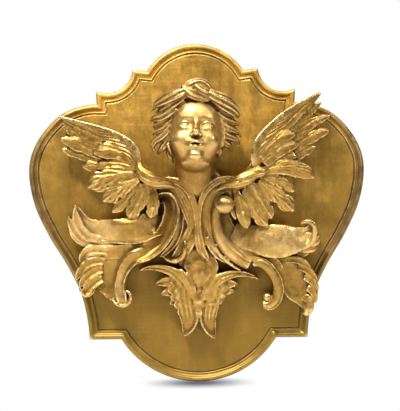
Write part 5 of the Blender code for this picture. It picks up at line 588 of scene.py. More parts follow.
def put_right_scroll(clay):
    B = clay.blade
    # rolled band with its eye
    B([(217.8, 204, 56, 3.4, 3.4), (216.4, 209, 57, 4.8, 4.6), (216.0, 216, 56, 5.2, 5.0), (217.0, 227, 54, 5.4, 5.4), (221.2, 239.2, 52, 6.0, 6.0),
       (229.0, 250.6, 50, 6.4, 6.4), (239.2, 259.0, 48, 6.4, 6.4), (249.8, 264.8, 46, 6.0, 5.8)],
      relief=lambda t, s: 7.0 * np.sqrt(np.clip(1.0 - (s / 0.86) ** 2, 0.0, 1.0)) - 7.0, thick=16, edge=6, base=-2, along=2 * ALONG, across=ACROSS + 8, blunt=0.0)
    clay.ball(224.4, 204.6, 60, 9.6, 13, 8.9)
    B([(211.5, 199.5, 44, 1.6, 1.6), (208.4, 210, 44, 1.8, 1.8), (208.0, 224, 43, 1.8, 1.8), (211.6, 240, 42, 1.8, 1.8), (219.6, 254, 40, 1.8, 1.8), (231.0, 264.2, 38, 1.8, 1.8), (241.0, 270.5, 36, 1.2, 1.2)], thick=10, edge=4, base=-2, along=ALONG + 8, blunt=0.1)
    # hollow band inside the roll, running on as the second scroll
    B([(225.0, 212, 35, 4, 6), (227.4, 222, 36, 4.8, 8, 0, -2), (232.0, 233, 38, 5.6, 9, 0, -3), (240.0, 243.4, 41, 6.0, 9.5, 0, -3), (251.0, 250.8, 43, 6.0, 9.5, 0, -3), (263.0, 255.6, 41, 5.4, 8, 0, -2), (274.0, 262.0, 37, 5.0, 5.0), (281.0, 270, 33, 4.0, 4.0)],
      relief=lambda t, s: 1.8 * np.exp(-((s - 0.86) / 0.12) ** 2), thick=14, edge=5, base=-2, along=ALONG + 10, across=ACROSS + 4, blunt=0.06)

    def second(t, s):
        return 1.8 * np.exp(-((s - 0.90) / 0.08) ** 2) - 1.6 * np.exp(-((s - 0.70) / 0.08) ** 2) + 3.6 * np.sqrt(np.clip(1.0 - ((s + 0.15) / 0.8) ** 2, 0.0, 1.0)) - 1.5
    B([(252.6, 264.4, 40, 3.4, 3.0), (260.4, 262.6, 42, 5.2, 5.0), (268.4, 267.8, 42, 5.4, 5.0), (274.2, 275.4, 40, 5.6, 5.0), (277.8, 284.0, 38, 5.6, 5.0), (278.2, 292.5, 37, 5.4, 5.0), (275.6, 300.4, 36, 5.4, 4.8), (270.2, 305.6, 35, 4.8, 4.4), (265.0, 305.4, 33, 3.6, 3.6), (262.4, 301.0, 30, 2.0, 2.0)],
      relief=second, thick=14, edge=5, base=-2, along=ALONG + 16, across=ACROSS + 6, blunt=0.06)
    clay.ball(267.6, 297.4, 29, 4.7, 9, 4.7)
    # upper leaf, full and round, turned over at its tip
    B([(233, 231, 38, 9, 8), (245, 236, 41, 12, 12), (257, 239.4, 43, 15, 14, 0, 2), (269, 241.6, 45, 17.5, 16, 0, 4), (281, 242.4, 46, 18, 15.5, 0, 5), (293, 241.0, 45, 15.8, 13, 0, 3), (302, 237.6, 42, 12.0, 10, 0, 0), (308.4, 232.0, 41, 8.6, 7.4, 0, -2), (311.6, 225.6, 43, 5.2, 4.6, 0, -1)],
      thick=16, edge=4.0, base=-2, along=ALONG + 10, across=ACROSS + 4, blunt=0.14, relief=lambda t, s: -2.4 * np.exp(-((s - 0.1) / 0.4) ** 2) * smooth((t - 0.72) / 0.16))
    clay.lock([(300.5, 224.0, 40, 1.0), (304.5, 221.8, 44, 2.0), (309.5, 221.6, 46, 2.6), (314.0, 225.0, 46, 2.8), (315.0, 231.5, 44, 2.8), (313.4, 238.5, 41, 2.8), (308.6, 244.6, 39, 2.6), (301.0, 249.0, 37, 2.2), (291, 252.5, 34, 1.4)], strands=1, groove=0.0, flat=1.1)
    for r in ([(305, 236, 38, 3, 3), (311.6, 236.6, 39, 3.8, 3.8, 0, 1), (316.6, 235.6, 38, 3.6, 3.6, 0, 1), (319.8, 234.0, 36, 2.2, 2.2)],
              [(302, 243, 36, 3, 3), (310.0, 243.0, 37, 4.0, 4.0, 0, 1), (316.0, 241.8, 37, 3.8, 3.8, 0, 1), (320.4, 239.6, 35, 2.2, 2.2)],
              [(298, 249, 32, 3, 3), (306.5, 249.4, 33, 3.8, 3.8, 0, 1), (313.0, 248.6, 33, 3.4, 3.4, 0, 1), (317.8, 246.6, 31, 2.0, 2.0)],
              [(284, 253, 30, 3, 3), (295, 254.6, 29, 3.4, 3.2), (304.0, 254.8, 28, 2.6, 2.6), (309.0, 253.6, 27, 1.2, 1.2)]):
        B(r, thick=10, edge=3.0, base=6, blunt=0.4)
    # lower leaf, one broad surface from the hook outwards
    B([(270, 257, 34, 6, 6), (282, 259, 32, 8, 8), (294, 262, 29, 8, 8), (305, 268, 26, 5, 6)], thick=13, edge=5, base=-2, blunt=0.1)
    B([(268, 258, 36, 6, 6), (280, 264.5, 33, 10, 10, 0, 0), (290.0, 272.5, 30, 14, 15, 0, -1), (298.0, 282.5, 28, 15.4, 17.5, 0, -2), (303.0, 293.0, 28, 13.2, 15.5, 0, -2), (306.4, 303.5, 30, 8.0, 8.0, 0, -1), (306.8, 311.5, 31, 4.4, 4.2)],
      relief=lambda t, s: 1.3 * np.exp(-((s + 0.9) / 0.1) ** 2) - 1.1 * (1.0 - np.abs(np.sin(math.pi * (1.5 * s + 0.3)))) ** 2 * smooth((t - 0.5) / 0.3),
      thick=11, edge=3.0, base=9, along=ALONG + 8, across=ACROSS + 4, blunt=0.10)
    turned = lambda t, s: 1.2 * np.exp(-((np.abs(s) - 0.75) / 0.18) ** 2)
    B([(286, 260, 31, 3, 3), (295.0, 259.8, 33, 3.8, 3.6, 0, 1), (303.6, 262.6, 34, 3.6, 3.4, 0, 1), (311.0, 268.8, 32, 1.8, 1.8)], thick=9, edge=2.6, base=9, relief=turned)
    B([(298, 267, 31, 3, 3), (305.6, 269.4, 33, 3.8, 3.6, 0, 1), (312.0, 274.0, 34, 3.4, 3.2, 0, 1), (317.0, 281.0, 32, 1.8, 1.8)], thick=9, edge=2.6, base=9, relief=turned)
    B([(304, 277, 31, 3, 3), (310.6, 280.4, 33, 3.8, 3.6, 0, 1), (315.4, 286.0, 34, 3.2, 3.0, 0, 1), (317.6, 293.0, 31, 1.6, 1.6)], thick=9, edge=2.6, base=9, relief=turned)
    B([(307, 288, 31, 3, 3), (312.4, 291.6, 33, 3.4, 3.4, 0, 1), (315.4, 297.0, 33, 2.8, 2.8), (315.6, 303.0, 31, 1.4, 1.4)], thick=9, edge=2.6, base=9, relief=turned)
    B([(305, 297, 31, 4, 4), (309.4, 302.0, 33, 4.4, 4.2, 0, 2), (309.2, 308.2, 34, 4.6, 4.4, 0, 3), (306.0, 312.8, 32, 3.6, 3.6, 0, 2), (302.4, 313.4, 29, 1.8, 1.8)], thick=10, edge=3.0, base=9)


def reeded(n, deep=1.6, start=0.0):
    """Reeds side by side along a ribbon."""
    return lambda t, s: -deep * (1.0 - np.abs(np.sin(0.5 * math.pi * n * (s + 1.0)))) ** 1.6 * smooth((t - start + 0.05) / 0.1)


def put_middle(clay):
    B, L = clay.blade, clay.lock
    # solid behind the ornament
    clay.ball(197, 134, 12, 25, 26, 27)
    B([(198, 168, 24, 15, 15), (198, 182, 32, 26, 26), (198, 196, 38, 27, 27), (197, 212, 37, 23, 22), (196, 230, 34, 20, 20), (195, 246, 30, 20, 20), (197, 260, 26, 17, 19), (199, 274, 22, 15, 15), (199, 290, 19, 13, 13), (199, 306, 17, 12, 12), (199, 322, 14, 9, 9)], thick=20, edge=9, base=-2, blunt=0.08)
    # bands that come down from the wings: reeded on the left, hollow on the right
    B([(158, 187, 49, 5, 5), (168, 188.0, 51, 5.4, 5.4), (176.6, 192.4, 52, 5.6, 5.8), (182.8, 201.0, 52, 5.8, 6.0), (187.4, 211, 50, 5.4, 5.8), (190.4, 221, 48, 4.2, 4.8), (191.6, 229, 45, 2.6, 3.0), (191.6, 235, 42, 1.2, 1.2)],
      relief=reeded(4, 3.0), thick=18, edge=7, base=-2, along=ALONG + 12, across=ACROSS + 12, blunt=0.06)
    B([(183.0, 210, 45, 2.6, 2.6), (185.6, 220, 44, 3.6, 3.8), (186.0, 230, 42, 3.8, 4.4), (183.6, 241, 40, 3.6, 4.6), (179.0, 251, 36, 3.2, 4.0), (173.0, 259, 32, 2.4, 3)],
      relief=lambda t, s: -2.6 * np.exp(-(s / 0.55) ** 2), thick=16, edge=6, base=-2, blunt=0.06)
    B([(240, 185.5, 50, 4.5, 5), (228, 186.4, 52, 5.2, 5.2), (217.6, 190.4, 52, 5.6, 5.8), (210.4, 198.4, 51, 6.0, 6.6), (206.8, 209, 49, 6.0, 6.8), (206.6, 221, 47, 5.8, 6.2), (208.8, 233, 44, 5.4, 5.6), (213.4, 244.6, 41, 5.0, 5.0), (220.4, 254.6, 38, 4.6, 4.6), (229.0, 262.6, 33, 3.2, 3.2)],
      relief=lambda t, s: -4.2 * np.sqrt(np.clip(1.0 - (s / 0.8) ** 2, 0.0, 1.0)) + 1.0 * np.exp(-((np.abs(s) - 0.92) / 0.07) ** 2), thick=18, edge=7, base=-2, along=ALONG + 14, across=ACROSS + 10, blunt=0.06)
    # fine ribbons that meet under the neck and run on as one stem
    B([(160, 180.0, 50, 1.6, 1.8), (169, 179.6, 53, 2.8, 2.8), (178, 182.2, 56, 3.6, 3.8), (186.2, 188.2, 57, 3.8, 4.0), (191.6, 196.6, 56, 3.4, 3.8), (194.8, 206.4, 54, 2.8, 3.2), (196.2, 217, 52, 2.2, 2.6), (196.4, 228, 49, 1.4, 1.6), (196.2, 236, 46, 0.8, 0.8)],
      relief=reeded(3, 2.8), thick=14, edge=5, base=6, along=2 * ALONG, across=ACROSS + 8, blunt=0.06)
    B([(236, 179.0, 50, 2.0, 2.0), (227, 178.8, 54, 3.0, 3.0), (218, 181.0, 57, 3.8, 3.8), (210.0, 186.2, 58, 4.0, 4.0), (204.0, 194.4, 57, 3.4, 3.6), (200.6, 204.4, 54, 2.6, 2.8), (199.4, 215, 52, 2.2, 2.4), (199.2, 227, 49, 1.8, 1.8), (199.8, 238, 46, 0.8, 0.8)],
      relief=reeded(3, 2.8), thick=14, edge=5, base=6, along=2 * ALONG, across=ACROSS + 8, blunt=0.06)
    clay.ball(197.2, 187.5, 44, 8.0, 8, 8)
    # folded leaf down the middle
    B([(197.8, 214, 47, 2.4, 2.4), (197.8, 223, 48, 3.4, 3.4, 0, 1), (198.2, 233, 48, 4.4, 4.4, 0, 2), (199.6, 243, 45, 5.2, 5.0, 0, 2), (201.6, 252, 40, 4.4, 4.2, 0, 1), (203.6, 259, 36, 1.6, 1.6)],
      relief=reeded(3, 2.4, 0.15), thick=16, edge=5, base=-2, along=ALONG + 4, across=ACROSS + 4)
    for r in ([(192, 222, 47, 2.0, 2.0), (188.2, 231, 45, 3.4, 3.0, 0, 1), (185.0, 239, 41, 3.0, 3.0, 0, 1), (182.4, 246.0, 37, 1.2, 1.2)],
              [(194, 236, 44, 2.0, 2.0), (190.6, 244.0, 43, 3.8, 3.4, 0, 1), (187.0, 251.0, 40, 3.8, 3.4, 0, 1), (184.0, 257.5, 35, 1.4, 1.4)],
              [(199, 240, 44, 1.8, 1.8), (202.4, 248.5, 42, 3.0, 3.2, 0, 1), (206.2, 256.5, 39, 2.8, 2.8), (209.4, 262.0, 35, 1.2, 1.2)],
              [(206, 238, 43, 1.8, 1.8), (211.2, 247.5, 41, 3.0, 3.2, 0, 1), (217.0, 255.5, 38, 2.8, 2.8), (223.0, 262.0, 34, 1.2, 1.2)]):
        B(r, thick=12, edge=4, base=-2, relief=lambda t, s: -1.8 * np.exp(-(s / 0.28) ** 2) * smooth((t - 0.1) / 0.3), blunt=0.4)
    # curled lip at the foot of the left scroll
    L([(163.6, 256.6, 32, 0.9), (169.6, 260.4, 34, 2.0), (176.6, 261.0, 36, 2.5), (182.4, 257.0, 38, 2.5), (185.0, 249.5, 40, 2.2), (184.6, 241.0, 41, 1.2)], strands=1, groove=0.0, flat=1.3)
    # shield-shaped boss
    B([(197.6, 248, 34, 9, 9), (198.6, 256.5, 33, 13, 14, 0, 1), (200.4, 264.4, 33, 16.0, 17.4, 0, 2), (200.4, 272.5, 34, 12.0, 14.0, 0, 3), (199.2, 281.0, 32, 7.6, 8, 0, 3), (198.4, 288.5, 28, 4.4, 4.4, 0, 1), (198.2, 292, 26, 3, 3)],
      relief=lambda t, s: 1.8 * np.exp(-((np.abs(s) - 0.84) / 0.12) ** 2) * smooth((t - 0.25) / 0.2) - 3.0 * np.exp(-(s / 0.5) ** 2) * np.exp(-((t - 0.22) / 0.14) ** 2) - 1.2 * np.exp(-((s - 0.42) / 0.1) ** 2) * smooth((t - 0.3) / 0.2),
      thick=14, edge=5, base=-2, blunt=0.05, across=ACROSS + 4)
    B([(208, 258, 34, 3, 3), (214.5, 264.6, 36, 3.6, 3.4, 0, 1), (213.0, 273.5, 35, 3.4, 3.2, 0, 1), (207.6, 281.5, 33, 2.6, 2.6), (203.6, 288, 29, 1.6, 1.6)], thick=12, edge=4, base=-2, relief=reeded(1, 0.0))


def put_pendant(clay):
    B, L = clay.blade, clay.lock
    # horns of the two leaves
    horn = lambda t, s: 1.7 * np.exp(-((np.abs(s) - 0.74) / 0.17) ** 2) - 1.6 * np.exp(-((s - 0.15) / 0.2) ** 2) + 0.9 * np.exp(-((s + 0.25) / 0.14) ** 2)
    for rows in ([(191.0, 304, 25, 3, 3), (188.5, 292.0, 29, 4.6, 5.4, 0, 1), (183.0, 281.4, 32, 5.4, 5.8, 0, 2), (175.0, 273.6, 34, 5.2, 5.4, 0, 2), (166.0, 269.4, 32, 4.4, 4.2, 0, 1), (156.5, 267.4, 29, 3.4, 3.0, 0, 1), (147.5, 267.8, 26, 2.2, 1.8), (138.8, 270.8, 22, 0.8, 0.8)],
                 [(205.6, 306, 25, 3, 3), (207.6, 295.0, 29, 5.0, 4.6, 0, 1), (212.4, 285.4, 32, 5.4, 5.2, 0, 2), (220.0, 279.0, 34, 5.2, 5.2, 0, 2), (229.0, 275.2, 32, 4.4, 4.4, 0, 1), (239.0, 273.6, 29, 3.2, 3.4, 0, 1), (249.6, 275.0, 25, 2.0, 2.4), (259.0, 279.8, 22, 0.8, 0.8)]):
        B(rows, thick=11, edge=3, base=-2, along=ALONG + 12, across=ACROSS + 2, blunt=0.1, relief=horn)
    # inner lobes, scalloped on the inside
    B([(193.0, 298, 30, 3, 3), (190.6, 287.5, 34, 4.8, 5.2, 0, 2), (185.6, 278.6, 36, 5.0, 5.4, 0, 2), (179.6, 272.6, 35, 4.6, 4.6, 0, 1), (175.4, 269.6, 32, 2.6, 2.6)], thick=11, edge=3, base=-2, relief=ridged(3, 1.4, 1.8, 0.8), cut=fingered(3, 1.4, 0.24, only=-1))
    B([(204.0, 300, 30, 3, 3), (206.6, 290.5, 33, 4.6, 4.0, 0, 2), (211.6, 282.5, 34, 4.6, 4.0, 0, 2), (218.0, 276.6, 33, 4.0, 3.6, 0, 1), (224.6, 273.0, 30, 2.0, 2.0)], thick=11, edge=3, base=-2, relief=ridged(3, 1.4, 1.8, 0.8), cut=fingered(3, 1.4, 0.24, only=1))
    # broad striped bodies that narrow into hollow legs
    reeds = lambda t, s: 1.8 * np.exp(-((np.abs(s) - 0.9) / 0.1) ** 2) * smooth((t - 0.5) / 0.2) - 2.8 * (1.0 - np.abs(np.sin(math.pi * (2.0 * s + 0.6 * t + 0.15)))) ** 1.3 * smooth((0.86 - t) / 0.25)
    B([(187.6, 274, 29, 6, 9), (184.6, 282, 31, 7, 14.6, 0, 2), (183.6, 290, 31, 8, 16.4, 0, 2), (184.4, 299, 29, 8.6, 13.4, 0, 2), (186.2, 308, 27, 8.6, 10.4, 0, 1), (188.2, 317, 24, 7.8, 8.4, 0, -1), (188.4, 325, 22, 6.4, 6.8, 0, -3), (186.6, 331.6, 20, 4.4, 4.6, 0, -3), (184.2, 336, 19, 1.6, 1.4)],
      thick=12, edge=3.2, base=-2, along=ALONG + 14, across=ACROSS + 14, blunt=0.05, relief=reeds, cut=lambda t, side: 1.0 if side > 0 else 1.0 - 0.26 * (1.0 - np.abs(np.sin(math.pi * (9.0 * t + 0.2)))) ** 1.4 * smooth((t - 0.04) / 0.1) * smooth((0.62 - t) / 0.12))
    B([(210.4, 279, 29, 9, 6), (213.6, 286, 31, 14.0, 7.6, 0, 2), (212.8, 294, 30, 14.4, 8.6, 0, 2), (211.2, 302, 28, 10.6, 8.6, 0, 1), (210.0, 310, 26, 8.0, 8.2, 0, 1), (209.2, 319, 24, 6.8, 7.4, 0, -1), (209.8, 328, 22, 6.0, 6.4, 0, -3), (212.2, 334, 20, 3.8, 4.2, 0, -3), (214.8, 338, 19, 1.4, 1.6)],
      thick=12, edge=3.2, base=-2, along=ALONG + 14, across=ACROSS + 14, blunt=0.05, relief=reeds, cut=lambda t, side: 1.0 if side < 0 else 1.0 - 0.26 * (1.0 - np.abs(np.sin(math.pi * (9.0 * t + 0.2)))) ** 1.4 * smooth((t - 0.04) / 0.1) * smooth((0.56 - t) / 0.12))
    L([(197.2, 312, 25, 1.4), (196.8, 320.5, 24, 1.5), (194.0, 327.2, 24, 1.5), (189.6, 332.6, 22, 1.3), (184.0, 335.8, 20, 0.8)], strands=1, groove=0.0, flat=1.2)
    L([(200.6, 312, 25, 1.4), (201.4, 321.0, 24, 1.5), (204.8, 329.0, 24, 1.5), (209.8, 335.0, 22, 1.3), (215.6, 338.2, 20, 0.8)], strands=1, groove=0.0, flat=1.2)
    # scallops down the outer sides
    leaf = dict(relief=lambda t, s: 1.0 * np.exp(-((np.abs(s) - 0.75) / 0.2) ** 2) - 1.0 * np.exp(-(s / 0.25) ** 2) * smooth((t - 0.2) / 0.3), thick=10, edge=3.0, base=-2, blunt=0.4)
    for rows in ([(190, 284, 29, 4, 4), (177.0, 281.6, 31, 6.0, 5.6, 0, 1), (165.0, 281.8, 28, 5.4, 5.0), (155.4, 284.4, 22, 2.6, 2.6)],
                 [(190, 291, 29, 4, 4), (179.0, 290.0, 29, 6.2, 5.6, 0, 1), (169.0, 291.4, 26, 5.4, 5.0), (161.0, 294.8, 21, 2.8, 2.8)],
                 [(190, 298, 28, 4, 4), (182.0, 298.8, 28, 5.6, 5.2, 0, 1), (174.6, 301.2, 25, 4.8, 4.4), (169.6, 304.6, 21, 2.4, 2.4)],
                 [(207, 289, 29, 4, 4), (218.5, 284.8, 31, 5.4, 5.6, 0, 1), (229.6, 283.6, 28, 4.6, 5.0), (238.8, 285.2, 22, 2.4, 2.4)],
                 [(207, 296, 29, 4, 4), (217.5, 292.6, 29, 5.0, 5.4, 0, 1), (227.4, 291.0, 26, 4.0, 4.4), (235.2, 291.4, 21, 2.2, 2.2)],
                 [(207, 302, 28, 3.6, 3.6), (214.0, 299.8, 28, 4.8, 4.8, 0, 1), (220.6, 298.8, 24, 3.8, 3.8), (224.8, 299.4, 20, 2.0, 2.0)]):
        B(rows, **leaf)
    # husk and drop down the middle
    B([(198.0, 286, 27, 5, 5), (197.8, 294, 29, 6.2, 6.0, 0, 3), (198.0, 302, 29, 5.0, 4.8, 0, 3), (198.6, 307, 27, 3.2, 3.2, 0, 1), (198.8, 312.5, 28, 3.8, 3.6, 0, 2), (199.0, 318.5, 25, 2.2, 2.2)],
      relief=lambda t, s: -1.4 * np.exp(-(s / 0.2) ** 2) * smooth((0.5 - t) / 0.2), thick=12, edge=4, base=-2, blunt=0.2)


def heap(step):
    clay = Clay()
    put_head(clay, step)
    for put in (put_hair, put_left_wing, put_right_wing, put_left_scroll, put_right_scroll, put_middle, put_pendant):
        put(clay)
    return clay


# ---------------------------------------------------------------- the shaped board
def half_chain():
    """Right half of the outline, crown to foot, as runs between corners, in mm."""
    runs = []
    r = (ARCH_HALF**2 + (ARCH_TOP - ARCH_FOOT) ** 2) / (2 * (ARCH_TOP - ARCH_FOOT))
    a = np.linspace(0.0, math.asin(ARCH_HALF / r), 50)
    runs.append(np.stack([r * np.sin(a), ARCH_TOP - r + r * np.cos(a)], axis=1))
    runs.append(np.array([runs[0][-1], (STEP_X, STEP_Y)]))
    a = np.linspace(-math.pi - math.asin((STEP_Y - SWEEP_Y) / SWEEP_R), math.atan2(HORN_Y - SWEEP_Y, HORN_X - SWEEP_X), 60)
    runs.append(np.stack([SWEEP_X + SWEEP_R * np.cos(a), SWEEP_Y + SWEEP_R * np.sin(a)], axis=1))
    runs.append(np.array([runs[2][-1], SHOULDER[0]]))
    runs.append(through([(x, y, 0.0) for x, y in SHOULDER], 140)[:, :2])
    runs.append(np.array([SHOULDER[-1], (LOBE_X, LOBE_Y)]))
    r = (LOBE_X**2 + (LOBE_Y - LOBE_LOW) ** 2) / (2 * (LOBE_Y - LOBE_LOW))
    a = np.linspace(math.asin(LOBE_X / r), 0.0, 70)
    runs.append(np.stack([r * np.sin(a), LOBE_LOW + r - r * np.cos(a)], axis=1))
    return [q * (GRID / MM) for q in runs]


def crossing(p, q):
    """Where run p first meets run q: place, index in p, index in q."""
    a, b, c, d = p[:-1, None], p[1:, None], q[None, :-1], q[None, 1:]
    r, s, w = b - a, d - c, c - a
    det = r[..., 0] * s[..., 1] - r[..., 1] * s[..., 0]
    det = np.where(np.abs(det) < 1e-12, 1e-12, det)
    t = (w[..., 0] * s[..., 1] - w[..., 1] * s[..., 0]) / det
    u = (w[..., 0] * r[..., 1] - w[..., 1] * r[..., 0]) / det
    hit = np.argwhere((t >= 0) & (t <= 1) & (u >= 0) & (u <= 1))
    i, j = hit[0]
    return p[i] + t[i, j] * (p[i + 1] - p[i]), i, j


COUNTS = (7, 1, 8, 1, 16, 2, 9)   # steps in each run of the plain outline


def outline(away, fine=1):
    """The outline moved inwards by `away` mm, mitred at its corners, clockwise as seen."""
    reach, chain, runs = 1.0 + 2.2 * abs(away), half_chain(), []
    for k, p in enumerate(chain):
        t = np.gradient(p, axis=0)
        t /= np.linalg.norm(t, axis=1)[:, None]
        q = p + away * np.stack([t[:, 1], -t[:, 0]], axis=1)
        head = [q[0] - reach * t[0]] if k else []
        tail = [q[-1] + reach * t[-1]] if k < len(chain) - 1 else []
        runs.append(np.vstack(head + [q] + tail))
    for k in range(len(runs) - 1):
        x, i, j = crossing(runs[k], runs[k + 1])
        runs[k], runs[k + 1] = np.vstack([runs[k][:i + 1], x]), np.vstack([x, runs[k + 1][j + 1:]])
    pts = [runs[0][0]]
    for p, n in zip(runs, COUNTS):
        run = np.concatenate([[0.0], np.cumsum(np.linalg.norm(np.diff(p, axis=0), axis=1))])
        even = np.linspace(0.0, run[-1], n * fine + 1)[1:]
        pts.extend(np.stack([np.interp(even, run, p[:, 0]), np.interp(even, run, p[:, 1])], axis=1))
    right = np.array(pts)
    right[0, 0] = right[-1, 0] = 0.0
    left = right[1:-1][::-1] * np.array((-1.0, 1.0))
    return np.concatenate([right, left])


# Moulding of the rim: distance in from the edge (mm) and height over the wall (mm).
MOULDING_PLAIN = ((0.0, 0.0), (0.0, 26.5), (1.8, 30.6), (5.4, 32.0), (8.6, 30.2), (13.4, 26.6), (15.6, 27.2), (16.2, 24.3), (18.0, 24.3), (18.9, 26.4), (21.6, 26.0))
# ---------------------------------------------------------------- meshes
SKIN = 0.0013
CARVING_FACES = 186000


def settled(ob):
    """The object's mesh with its modifiers worked in."""
    graph = bpy.context.evaluated_depsgraph_get()
    me = bpy.data.meshes.new_from_object(ob.evaluated_get(graph))
    old = ob.data
    ob.modifiers.clear()
    ob.data = me
    bpy.data.meshes.remove(old)
    return me


def add(name, mesh, *materials):
    ob = bpy.data.objects.new(name, mesh)
    bpy.context.scene.collection.objects.link(ob)
    if len(mesh.materials):
        mesh.materials.clear()
    for m in materials:
        mesh.materials.append(m)
    return ob


# The moulding as carved, rounder than the plain rings of the solid: (distance in, height), mm.
MOULDING = ((0.5, 0.4), (0.15, 1.2), (0, 3.0), (0.05, 12.0), (0.0, 22.0), (0.1, 25.6), (0.5, 27.6), (1.2, 29.4), (2.2, 30.8),
            (3.5, 31.6), (5.0, 31.9), (6.4, 31.6), (7.5, 30.9), (8.3, 30.2), (9.2, 29.0), (10.3, 27.9), (11.6, 27.1),
            (12.8, 26.8), (13.6, 26.9), (14.1, 27.2), (14.9, 27.35), (15.5, 27.1), (15.8, 26.4), (16.05, 25.0), (16.3, 24.45),
            (17.0, 24.3), (17.8, 24.35), (18.2, 24.9), (18.7, 25.8), (19.4, 26.15), (20.3, 26.1), (21.6, 25.95))


def board():
    """The board: moulded rim, a slightly uneven field, and a plain sawn back."""
    fine = 6
    n = None
    pts = []
    for d, h in MOULDING:
        q = outline(d, fine)
        n = len(q)
        run = np.linspace(0.0, 2.0 * math.pi, n, endpoint=False)
        wob = 0.10 * np.sin(7 * run + d) + 0.08 * np.sin(19 * run + 2.0 * d) + 0.05 * np.sin(43 * run + 0.7 * d)
        pts.append(np.stack([q[:, 0], -(h + wob * (h > 20)), q[:, 1]], axis=1))
    rows = len(pts)
    ring = pts[-1][:, [0, 2]]
    pts = np.concatenate(pts)
    faces = []
    for i in range(rows - 1):
        for j in range(n):
            a, b = i * n + j, i * n + (j + 1) % n
            faces.append((a, b, b + n, a + n))
    # the field, in small triangles that can carry its slight waves
    pitch = 6.5
    gx, gz = np.meshgrid(np.arange(-300.0, 300.0, pitch), np.arange(-310.0, 310.0, pitch))
    gx = gx + np.where((np.round(gz / pitch).astype(int) % 2) == 0, 0.5 * pitch, 0.0)
    spots = np.stack([gx.ravel(), gz.ravel()], axis=1)
    near, inside = np.full(len(spots), 1e9), np.zeros(len(spots), bool)
    for p, q in zip(ring, np.roll(ring, -1, axis=0)):
        d = q - p
        u = np.clip(((spots - p) @ d) / max(d @ d, 1e-12), 0.0, 1.0)
        near = np.minimum(near, np.linalg.norm(spots - (p + u[:, None] * d), axis=1))
        over = (p[1] > spots[:, 1]) != (q[1] > spots[:, 1])
        at = p[0] + (spots[:, 1] - p[1]) * d[0] / (d[1] if abs(d[1]) > 1e-12 else 1e-12)
        inside ^= over & (spots[:, 0] < at)
    spots, near = spots[inside & (near > 0.55 * pitch)], near[inside & (near > 0.55 * pitch)]
    verts, _, tris, origin, _, _ = delaunay_2d_cdt([Vector(v) for v in np.concatenate([ring, spots]).tolist()],
                                                   [(i, (i + 1) % n) for i in range(n)], [], 1, 1e-6)
    x, z = spots[:, 0], spots[:, 1]
    wave = 0.16 * np.sin(x * 0.021 + 0.9 * np.sin(z * 0.017)) * np.cos(z * 0.026) + 0.07 * np.sin(x * 0.071 + z * 0.053) + 0.04 * np.sin(z * 0.13 - x * 0.11)
    inner = np.stack([x, -(FIELD / MM) + smooth(near / 14.0) * wave, z], axis=1)
    start = (rows - 1) * n
    pts = np.concatenate([pts, inner])
    name_of = [(start + min(o)) if min(o) < n else (rows * n + min(o) - n) for o in origin]
    faces += [tuple(name_of[i] for i in tri) for tri in tris]
    back = len(faces)
    b0 = len(pts)
    q = outline(1.2, fine)
    pts = np.concatenate([pts, np.stack([q[:, 0], np.zeros(n), q[:, 1]], axis=1)])
    for j in range(n):
        faces.append((j, b0 + j, b0 + (j + 1) % n, (j + 1) % n))
    faces.append(tuple(range(b0, b0 + n)))
    me = bpy.data.meshes.new("board")
    me.from_pydata((pts * MM).tolist(), [], faces)
    me.update()
    bm = bmesh.new()
    bm.from_mesh(me)
    bmesh.ops.recalc_face_normals(bm, faces=bm.faces)
    bm.to_mesh(me)
    bm.free()
    me.polygons.foreach_set("use_smooth", [True] * len(me.polygons))
    me.polygons.foreach_set("material_index", [0] * back + [1] * (len(me.polygons) - back))
    me.update()
    return me


def seat_block():
    """The room under the carving: the board's face, carried well below it."""
    rows = [(-0.2, -60.0), (-0.2, 26.3)] + [(d, h - 0.25) for d, h in MOULDING[7:]]
    pts = []
    for d, h in rows:
        q = outline(d, 2)
        pts.append(np.stack([q[:, 0], np.full(len(q), -h), q[:, 1]], axis=1))
    n, k = len(rows), len(pts[0])
    faces = [(i * k + j, i * k + (j + 1) % k, (i + 1) * k + (j + 1) % k, (i + 1) * k + j) for i in range(n - 1) for j in range(k)]
    faces += [tuple(range(k)), tuple(range((n - 1) * k, n * k))[::-1]]
    me = bpy.data.meshes.new("seat_block")
    me.from_pydata((np.concatenate(pts) * MM).tolist(), [], faces)
    me.update()
    bm = bmesh.new()
    bm.from_mesh(me)
    bmesh.ops.recalc_face_normals(bm, faces=bm.faces)
    bm.to_mesh(me)
    bm.free()
    return me


def carving():
    """The whole carving as one skin, thinned and let down onto the board."""
    ob = add("carving", heap(1.1).mesh("carving"))
    skin = ob.modifiers.new("skin", "REMESH")
    skin.mode = "VOXEL"
    skin.voxel_size = SKIN
    me = settled(ob)
    less = ob.modifiers.new("less", "DECIMATE")
    less.ratio = min(1.0, CARVING_FACES / (2.0 * len(me.polygons)))
    me = settled(ob)
    block = add("seat_block", seat_block())
    cut = ob.modifiers.new("seat", "BOOLEAN")
    cut.operation = "DIFFERENCE"
    cut.solver = "MANIFOLD"
    cut.object = block
    me = settled(ob)
    bpy.data.objects.remove(block, do_unlink=True)
    # only the one body that the skin closes is kept
    bm = bmesh.new()
    bm.from_mesh(me)
    seen, groups = set(), []
    for v in bm.verts:
        if v.index in seen:
            continue
        stack, part = [v], []
        seen.add(v.index)
        while stack:
            w = stack.pop()
            part.append(w)
            for e in w.link_edges:
                u = e.other_vert(w)
                if u.index not in seen:
                    seen.add(u.index)
                    stack.append(u)
        groups.append(part)
    groups.sort(key=len)
    for part in groups[:-1]:
        bmesh.ops.delete(bm, geom=part, context="VERTS")
    bm.to_mesh(me)
    bm.free()
    me.polygons.foreach_set("use_smooth", [True] * len(me.polygons))
    me.update()
    return ob


